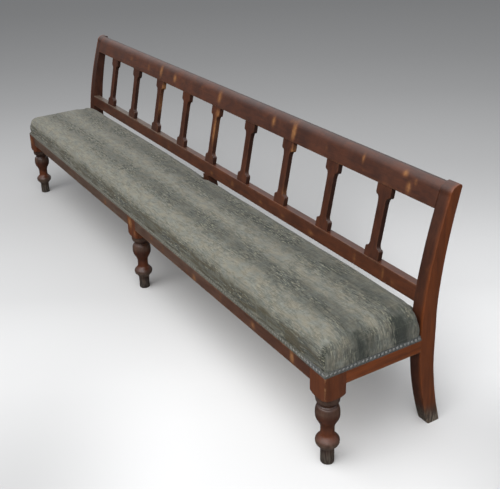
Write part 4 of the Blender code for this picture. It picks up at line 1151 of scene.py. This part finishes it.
def walked(run, step):
    """Stations along both paths of a run, matched one to one, and the directions outwards there.

    Straights are cut evenly and corners are quarter circles. The step holds on the first path."""
    lines = []
    counts = [max(2, round(np.hypot(*np.subtract(*pair)) / step)) for pair in zip(run[0], run[0][1:])]
    for corners, radius in zip(run, BRAID_CORNERS):
        corners = [np.array(corner, float) for corner in corners]
        rows, start = [], corners[0]
        for count, before, corner, after in zip(counts, corners, corners[1:], corners[2:]):
            inwards = (before - corner) / np.linalg.norm(before - corner)
            onwards = (after - corner) / np.linalg.norm(after - corner)
            angle = np.linspace(0, pi / 2, 5)[:, None]
            arc = corner + radius * (inwards * (1 - np.sin(angle)) + onwards * (1 - np.cos(angle)))
            rows += [start + (arc[0] - start) * np.linspace(0, 1, count)[:-1, None], arc[:-1]]
            start = arc[-1]
        rows.append(start + (corners[-1] - start) * np.linspace(0, 1, counts[-1])[:, None])
        lines.append(np.concatenate(rows))
    reach = np.concatenate(([0], np.cumsum(np.linalg.norm(np.diff(lines[0], axis=0), axis=1))))
    turn = np.gradient(lines[0], axis=0)
    turn /= np.linalg.norm(turn, axis=1, keepdims=True)
    return (*lines, combined(turn[:, 1], -turn[:, 0]), reach)


def braid_drop(low):
    """How far the braid hangs over the rails at stations: most at the end with the positive X."""
    front = (low[:, 1] < FRONT + FRONT_RUN) * smooth_share(BRAID_DROP_ENDS - low[:, 0], 0, BRAID_DROP_FADE)
    front = np.maximum(front, low[:, 0] < 0)
    return BRAID_DROP + (BRAID_FRONT_DROP - BRAID_DROP) * front


def braid_line(low, high, height):
    """Where the braid lies at heights above the rail's top: upright on the rail, leaning in above it."""
    lean = np.clip(height / BRAID_HEIGHT, 0, 1)
    place = low[:, None] + (high - low)[:, None] * lean[..., None]
    return np.concatenate((place, (SEAT_LOW.z + height)[..., None]), -1)


def braid_rings(run):
    """One strip of gimp: a thin domed section whose two cords swell and shrink in turn."""
    low, high, out, along = walked(run, BRAID_STEP)
    share = np.linspace(0, 1, 9)
    drop = braid_drop(low)[:, None]
    width = drop + BRAID_HEIGHT
    back = np.concatenate((np.full_like(drop, 0.70), drop / width), 1)
    dome = np.sin(pi * share) ** 0.6
    cords = 0.5 + 0.5 * np.cos(2 * pi * (along[:, None] / BRAID_GIMP + 0.5 * (share > 0.5)[None]))
    rise = BRAID_CLEARANCE + BRAID_THICKNESS * dome * (0.70 + 0.30 * cords)
    depth = np.concatenate((rise, np.full_like(back, BRAID_CLEARANCE / 2)), 1)
    share = np.broadcast_to(share, (len(along), len(share)))
    points = braid_line(low, high, np.concatenate((share, back), 1) * width - drop)
    points[..., :2] += out[:, None] * depth[..., None]
    return points


def make_braid(material):
    """The gimp braid round the cover's foot, in one mesh."""
    points, faces, used = [], [], 0
    for run in foot_runs():
        rings = braid_rings(run)[:, ::-1]
        points.append(rings.reshape(-1, 3))
        faces += [[used + corner for corner in face] for face in tube_faces(*rings.shape[:2])]
        used += rings[..., 0].size
    add_piece("seat_braid", np.concatenate(points), faces, material, "braid", sharp=1.0)


def make_studs(material):
    """Close-set round nail heads through the braid: small domes, a little uneven, in one mesh."""
    random = np.random.default_rng(11)
    angle = np.arange(STUD_SIDES) * 2 * pi / STUD_SIDES
    dome = [(share * np.cos(a), share * np.sin(a), high) for share, high in STUD_DOME for a in angle]
    dome = np.array(dome + [(0, 0, 1)])
    sides = np.array(tube_faces(len(STUD_DOME), STUD_SIDES, capped=False))
    last = (len(STUD_DOME) - 1) * STUD_SIDES
    turn = np.arange(STUD_SIDES)
    tip = combined(last + turn, last + (turn + 1) % STUD_SIDES, len(dome) - 1)
    base = np.arange(STUD_SIDES)[::-1]
    points, faces, used = [], [], 0
    for run in foot_runs():
        low, high, out, reach = walked(run, BRAID_STEP)
        count = round(reach[-1] / STUD_PITCH) - 1
        even = STUD_PITCH / 2 + (reach[-1] - STUD_PITCH) * np.arange(count) / (count - 1)
        low, high, out = (
            combined(*(np.interp(even, reach, axis) for axis in line.T)) for line in (low, high, out)
        )
        out /= np.linalg.norm(out, axis=1, keepdims=True)
        middle = (BRAID_HEIGHT - braid_drop(low)) / 2 + STUD_HIGH
        ends = braid_line(low, high, combined(0.0, middle, BRAID_HEIGHT))
        rise = ends[:, 2] - ends[:, 0]
        rise /= np.linalg.norm(rise, axis=1, keepdims=True)
        normal = np.concatenate((out, np.zeros((count, 1))), 1)
        run_way = np.cross((0, 0, 1.0), normal)
        normal = np.cross(run_way, rise)
        size = STUD_RADIUS * random.uniform(*STUD_UNEVEN, count)[:, None]
        centre = ends[:, 1] + normal * BRAID_THICKNESS * STUD_SEAT
        wide = (size * dome[None, :, 0])[..., None] * run_way[:, None]
        tall = (size * dome[None, :, 1])[..., None] * rise[:, None]
        deep = (STUD_RISE * dome[None, :, 2])[..., None] * normal[:, None]
        points.append((centre[:, None] + wide + tall + deep).reshape(-1, 3))
        starts = used + np.arange(count) * len(dome)
        for shape in (sides, tip, base[None]):
            faces += (starts[:, None, None] + shape[None]).reshape(-1, shape.shape[1]).tolist()
        used += count * len(dome)
    add_piece("seat_studs", np.concatenate(points), faces, material, "studs", sharp=1.0)


def cover_finish():
    """The seat's cloth: soft light and dark bands along the bench, with slubs, ribs, a fine weave and painted
    shade along its creases.

    All of it is read from the cover coordinates, in metres along and across the seat."""
    material, shader, base = new_finish("seat_cover", 0.9, sheen=0.12, specular=0.15)
    flat = base.node("ShaderNodeUVMap", {"uv_map": "cover"})
    along, across = flat.axis(0), flat.axis(1)

    def woven(scales, offset, *noise):
        """Noise with its own scales and offset along and across the seat."""
        return flat.stretched((*scales, 1), (*offset, 0)).noise(*noise)

    wobble = woven((2.0, 8.0), (0, 0), 2.0, 2.0, 0.5)
    ripple = woven((1.0, 2.0), (6.1, 3.3), 7.5, 4.0, 0.6)
    coarse = woven((0.7, 1.4), (0, 0), 22.0, 5.0, 0.62, 0.1)
    fine = woven((0.7, 1.4), (2.3, 0.9), 90.0, 4.0, 0.66, 0.1)
    folds = woven((0.6, 1.5), (0.7, 4.1), 13.0, 4.0, 0.60, 0.4)
    mottle = woven((0.8, 1.3), (9.2, 5.4), 26.0, 3.0, 0.55)
    hatch = woven((150.0, 8.0), (0, 0), 1.0, 2.0, 0.6)
    slub = woven((44.0, 190.0), (0, 0), 1.0, 2.0, 0.55)
    streak = woven((24.0, 120.0), (5.3, 2.9), 1.0, 4.0, 0.62, 0.1)
    fibres = woven((7.0, 95.0), (8.3, 1.9), 1.0, 3.0, 0.6)
    strokes = woven((9.0, 60.0), (2.7, 0.3), 1.0, 3.0, 0.62)
    zone = woven((5.0, 12.0), (3.1, 1.7), 1.0, 2.0, 0.5)
    weave = flat.noise(900.0, 2.0, 0.6)
    place = across + (wobble - 0.5) * 0.020 + (ripple - 0.5) * 0.044
    bands = [place.greys(stops, BAND_START, BAND_SPAN, DARKEST) for stops in (BAND_STOPS, END_BAND_STOPS)]
    dark = along.absolute().rise(*COVER_END).blended(*bands).axis(0)
    far, near = 1 - along.rise(-1.3, 0.3), along.rise(0.5, 1.4)
    front = 1 - across.rise(-0.300, -0.275)
    shade = dark * (1 - far * 0.24) + (fine - 0.5) * 0.42 + (coarse - 0.5) * 0.60 + (fibres - 0.5) * 0.55
    shade = shade + near * 0.05 - front * far * 0.13
    shade = (shade + (strokes - 0.5) * front * 1.2).clamped()
    olive = across.rise(-0.372, -0.342) * (1 - across.rise(-0.320, -0.280))
    olive = olive * (1 - along.rise(1.25, 1.47) * 0.6) * (strokes.rise(0.40, 0.60) * 0.46 + 0.32)
    streaked = streak.rise(0.48, 0.56) * zone.rise(0.38, 0.56) * (dark * 1.15 + 0.03)
    # Painted shade along the creases of the folds
    crease_shade = (1 - (folds * 2 - 1).absolute()).rise(0.93, 0.995)
    pale = slub.rise(0.56, 0.64) * (zone.rise(0.42, 0.60) * (dark * 0.9 + 0.1) + 0.04)
    edge = across.rise(-0.400, -0.375) * (1 - across.rise(-0.318, -0.290)) * (1 - along.rise(1.42, 1.49))
    colour = layered(
        shade.blended(mottle.rise(0.34, 0.66).blended(*CLOTH_LIGHT), CLOTH_DARK),
        (far * 0.08, CLOTH_FADED),
        (olive, CLOTH_OLIVE),
        (streaked.clamped(), CLOTH_STREAK),
        (crease_shade * 0.30, CLOTH_CREASE_SHADE),
        (hatch.rise(0.55, 0.70) * 0.16, CLOTH_THREADS[0]),
        (hatch.rise(0.42, 0.30) * 0.12, CLOTH_THREADS[1]),
        (pale.clamped() * 0.66, CLOTH_SLUB),
        (edge * strokes.rise(0.50, 0.57) * 0.68, CLOTH_STAIN),
        (weave.rise(0.35, 0.65) * 0.12, CLOTH_WEAVE),
    )
    relief = weave * 0.3 + slub * 0.3 + folds * 1.2 + fine * 0.8
    feed(shader, Base_Color=colour, Normal=bumped(relief, 0.0022, 0.60))
    return material


def braid_finish():
    """Worn gimp: blue-grey cords with painted shade in the hollows between them, duller away from the near
    end.
    """
    material, shader, base = new_finish("braid", 0.85, sheen=0.1, specular=0.25)
    place = base.place()
    cords = place.stretched((1.0, 1.0, 0.6)).noise(260.0, 2.0, 0.6)
    worn = place.noise(14.0, 3.0, 0.6)
    dull = (worn.rise(0.50, 0.70) * 0.5 + 1 - place.axis(0).rise(1.30, 1.47)).clamped()
    # The cords noise also makes the bump, so its darker end is painted shade in the hollows
    clean, faint = (cords.rise(0.35, 0.65).blended(*pair) for pair in (BRAID_CORDS, BRAID_DULL))
    colour = layered(clean, (dull * 0.85, layered(faint, (place.axis(0).rise(0.3, 1.0) * 0.45, BRAID_DARK))))
    feed(shader, Base_Color=colour, Normal=bumped(cords, 0.0005, 0.6))
    return material


def stud_finish():
    """Dull nail heads, mottled in pale and dark greys, duller away from the near end."""
    material, shader, base = new_finish("studs", 0.45)
    shader.inputs["Metallic"].default_value = 0.15
    place = base.place()
    spots = place.noise(170.0, 3.0, 0.6)
    dull = 1 - place.axis(0).rise(1.10, 1.47)
    colour = (dull * 0.88).blended(spots.rise(0.35, 0.65).blended(*STUD_GREYS), STUD_DULL)
    feed(shader, Base_Color=colour, Roughness=spots * 0.30 + 0.45)
    return material


def strap_finish(name, tone, thread):
    """Jute of straps and hessian: threads both ways, as two noises drawn out, thread being how fine."""
    material, shader, base = new_finish(name, 0.95, specular=0.15)
    place = base.place()
    along = place.stretched((60.0, thread, thread)).noise(1.0, 2.0, 0.5)
    across = place.stretched((thread, 60.0, thread)).noise(1.0, 2.0, 0.5)
    dust = place.noise(9.0, 3.0, 0.6)
    threads = along.math("MAXIMUM", along, across)
    colour = threads.rise(0.45, 0.68).blended([part * STRAP_SHADE for part in tone], tone)
    colour = (dust.rise(0.45, 0.75) * 0.4).blended(colour, STRAP_DUST)
    feed(shader, Base_Color=colour, Normal=bumped(threads, 0.0008, 0.7))
    return material


class BENCH_OT_seat(bpy.types.Operator):
    """Makes the stuffed seat's cover, its braid and its studs, and finishes the webbing below."""

    bl_idname = "bench.seat"
    bl_label = "Seat"

    def execute(self, context):
        make_cover(cover_finish())
        make_braid(braid_finish())
        make_studs(stud_finish())
        refinish("webbing", strap_finish("webbing", STRAP_JUTE, 900.0))
        refinish("hessian", strap_finish("hessian", HESSIAN_JUTE, 520.0))
        return {"FINISHED"}


class BENCH_OT_woodwork(bpy.types.Operator):
    """Makes the worn wooden surfaces: posts, legs, rails and splats."""

    bl_idname = "bench.woodwork"
    bl_label = "Woodwork"

    def execute(self, context):
        sizes, colours = context.scene.bench_sizes, context.scene.bench_colours
        materials = {
            "x": wood_finish("varnished_wood_lengthwise", 0, colours),
            "y": wood_finish("varnished_wood_crosswise", 1, colours),
            "z": wood_finish("varnished_wood_upright", 2, colours),
            "turned": wood_finish("varnished_wood_turned", 2, colours),
            "under": wood_finish("underframe_wood", 0, colours),
        }
        make_posts(materials, sizes)
        make_middle_leg(materials, sizes)
        make_back_rails(materials, sizes)
        make_splats(materials, sizes)
        make_front_legs(materials)
        make_seat_rails(materials, sizes)
        refinish("block", materials["under"])
        return {"FINISHED"}


class BENCH_OT_stage(bpy.types.Operator):
    """Sets up the pale floor, the soft lamps, the world and the camera at the photo's angle."""

    bl_idname = "bench.stage"
    bl_label = "Stage"

    def execute(self, context):
        make_floor()
        make_lamps()
        make_camera()
        return {"FINISHED"}


def make_floor():
    """A pale floor painted darker away from the camera as its light falls off, by a ramp on its own
    coordinates, with painted shade in the near corners and painted light to the right.
    """
    half = FLOOR_SIZE / 2
    mesh = bpy.data.meshes.new("studio_floor")
    corners = [(-half, -half, 0), (half, -half, 0), (half, half, 0), (-half, half, 0)]
    mesh.from_pydata(corners, [], [range(4)])
    floor = linked("studio_floor", mesh)
    material, shader, base = new_finish("studio_floor", 0.9, specular=0.0)
    heading = Vector(CAMERA_FORWARD[:2]).normalized()
    place = base.place()
    start = heading.dot(Vector(CAMERA_PLACE[:2]))
    distance = place.axis(0) * heading.x + place.axis(1) * heading.y - start
    ramp = distance.greys(FLOOR_STOPS, 0, FLOOR_REACH)
    sideways = place.axis(0) * heading.y - place.axis(1) * heading.x
    sideways = sideways - (heading.y * CAMERA_PLACE[0] - heading.x * CAMERA_PLACE[1])
    # Painted shade in the near corners
    close = 1 - distance.rise(*CORNER_END)
    left, right = (
        way.rise(*spread) * close * shade
        for way, spread, shade in zip((0 - sideways, sideways), CORNER_SPREADS, CORNER_SHADES)
    )
    # Painted light: the floor is brightened to the right of the bench
    painted_light = distance.rise(*RIGHT_START) * (1 - distance.rise(*RIGHT_END))
    painted_light = sideways.rise(*RIGHT_SPREAD) * painted_light * RIGHT_PAINTED_LIGHT
    seen = 1 - base.node("ShaderNodeLightPath", None, None, "Is Glossy Ray") * (1 - FLOOR_GLOSS)
    seen = seen * (1 - left) * (1 - right) * (1 + painted_light)
    colour = ramp.node("ShaderNodeVectorMath", {"operation": "SCALE"}, {0: ramp, "Scale": seen})
    feed(shader, Base_Color=colour)
    mesh.materials.append(material)


def make_lamps():
    """A broad soft light overhead, a weaker one from the end, and a world that gleams more from above."""
    for name, place, target, (width, height), power in LAMPS:
        data = bpy.data.lights.new(name, "AREA")
        data.shape = "RECTANGLE"
        data.size, data.size_y = width, height
        data.energy = power
        lamp = linked(name, data)
        lamp.location = place
        lamp.rotation_euler = (Vector(target) - Vector(place)).to_track_quat("-Z", "Y").to_euler()
    world = bpy.data.worlds.new("studio_world")
    world.use_nodes = True
    shade = Shade(world.node_tree)
    glossy = shade.node("ShaderNodeLightPath", None, None, "Is Glossy Ray")
    upward = shade.node("ShaderNodeTexCoord", None, None, 0).axis(2)
    skies = [
        shade.node("ShaderNodeBackground", None, {"Color": SKY_COLOUR, "Strength": strength})
        for strength in (WORLD_LIGHT, *WORLD_GLOSS)
    ]
    gleam = upward.rise(*GLOSS_HEIGHT)
    mirrored = shade.node("ShaderNodeMixShader", None, {0: gleam, 1: skies[1], 2: skies[2]})
    mixed = shade.node("ShaderNodeMixShader", None, {0: glossy, 1: skies[0], 2: mirrored})
    world.node_tree.links.new(mixed.link, world.node_tree.nodes["World Output"].inputs["Surface"])
    bpy.context.scene.world = world


def make_camera():
    """The camera: its axes are right, up and back, rolled about the view's direction."""
    forward = Vector(CAMERA_FORWARD).normalized()
    level = forward.cross(Vector((0, 0, 1))).normalized()
    upright = level.cross(forward)
    roll = radians(CAMERA_ROLL)
    right = level * cos(roll) + upright * sin(roll)
    up = right.cross(forward)
    data = bpy.data.cameras.new("photo_camera")
    data.sensor_width = CAMERA_SENSOR
    data.lens = CAMERA_LENS
    data.shift_x, data.shift_y = CAMERA_SHIFT
    camera = linked("photo_camera", data)
    turn = Matrix((right, up, -forward)).transposed().to_4x4()
    camera.matrix_world = Matrix.Translation(CAMERA_PLACE) @ turn
    bpy.context.scene.camera = camera
    bpy.context.scene.view_settings.view_transform = "Standard"


class BENCH_PT_panel(bpy.types.Panel):
    """Lists the sizes, the colours and the steps that build the bench's surfaces."""

    bl_idname = "BENCH_PT_panel"
    bl_label = "Railway station bench"
    bl_space_type = "VIEW_3D"
    bl_region_type = "UI"
    bl_category = "Bench"

    def draw(self, context):
        for group in (context.scene.bench_sizes, context.scene.bench_colours):
            for name in group.bl_rna.properties.keys():
                if name not in ("rna_type", "name"):
                    self.layout.prop(group, name)
        for step in STEPS:
            self.layout.operator(step.bl_idname)


STEPS = (BENCH_OT_woodwork, BENCH_OT_seat, BENCH_OT_stage)
CLASSES = (BenchSizes, BenchColours, *STEPS, BENCH_PT_panel)


def register():
    for item in CLASSES:
        bpy.utils.register_class(item)
    bpy.types.Scene.bench_sizes = PointerProperty(type=BenchSizes)
    bpy.types.Scene.bench_colours = PointerProperty(type=BenchColours)


def unregister():
    del bpy.types.Scene.bench_colours
    del bpy.types.Scene.bench_sizes
    for item in reversed(CLASSES):
        bpy.utils.unregister_class(item)


def main():
    register()
    bpy.ops.bench.woodwork()
    bpy.ops.bench.seat()
    bpy.ops.bench.stage()


if __name__ == "__main__":
    main()
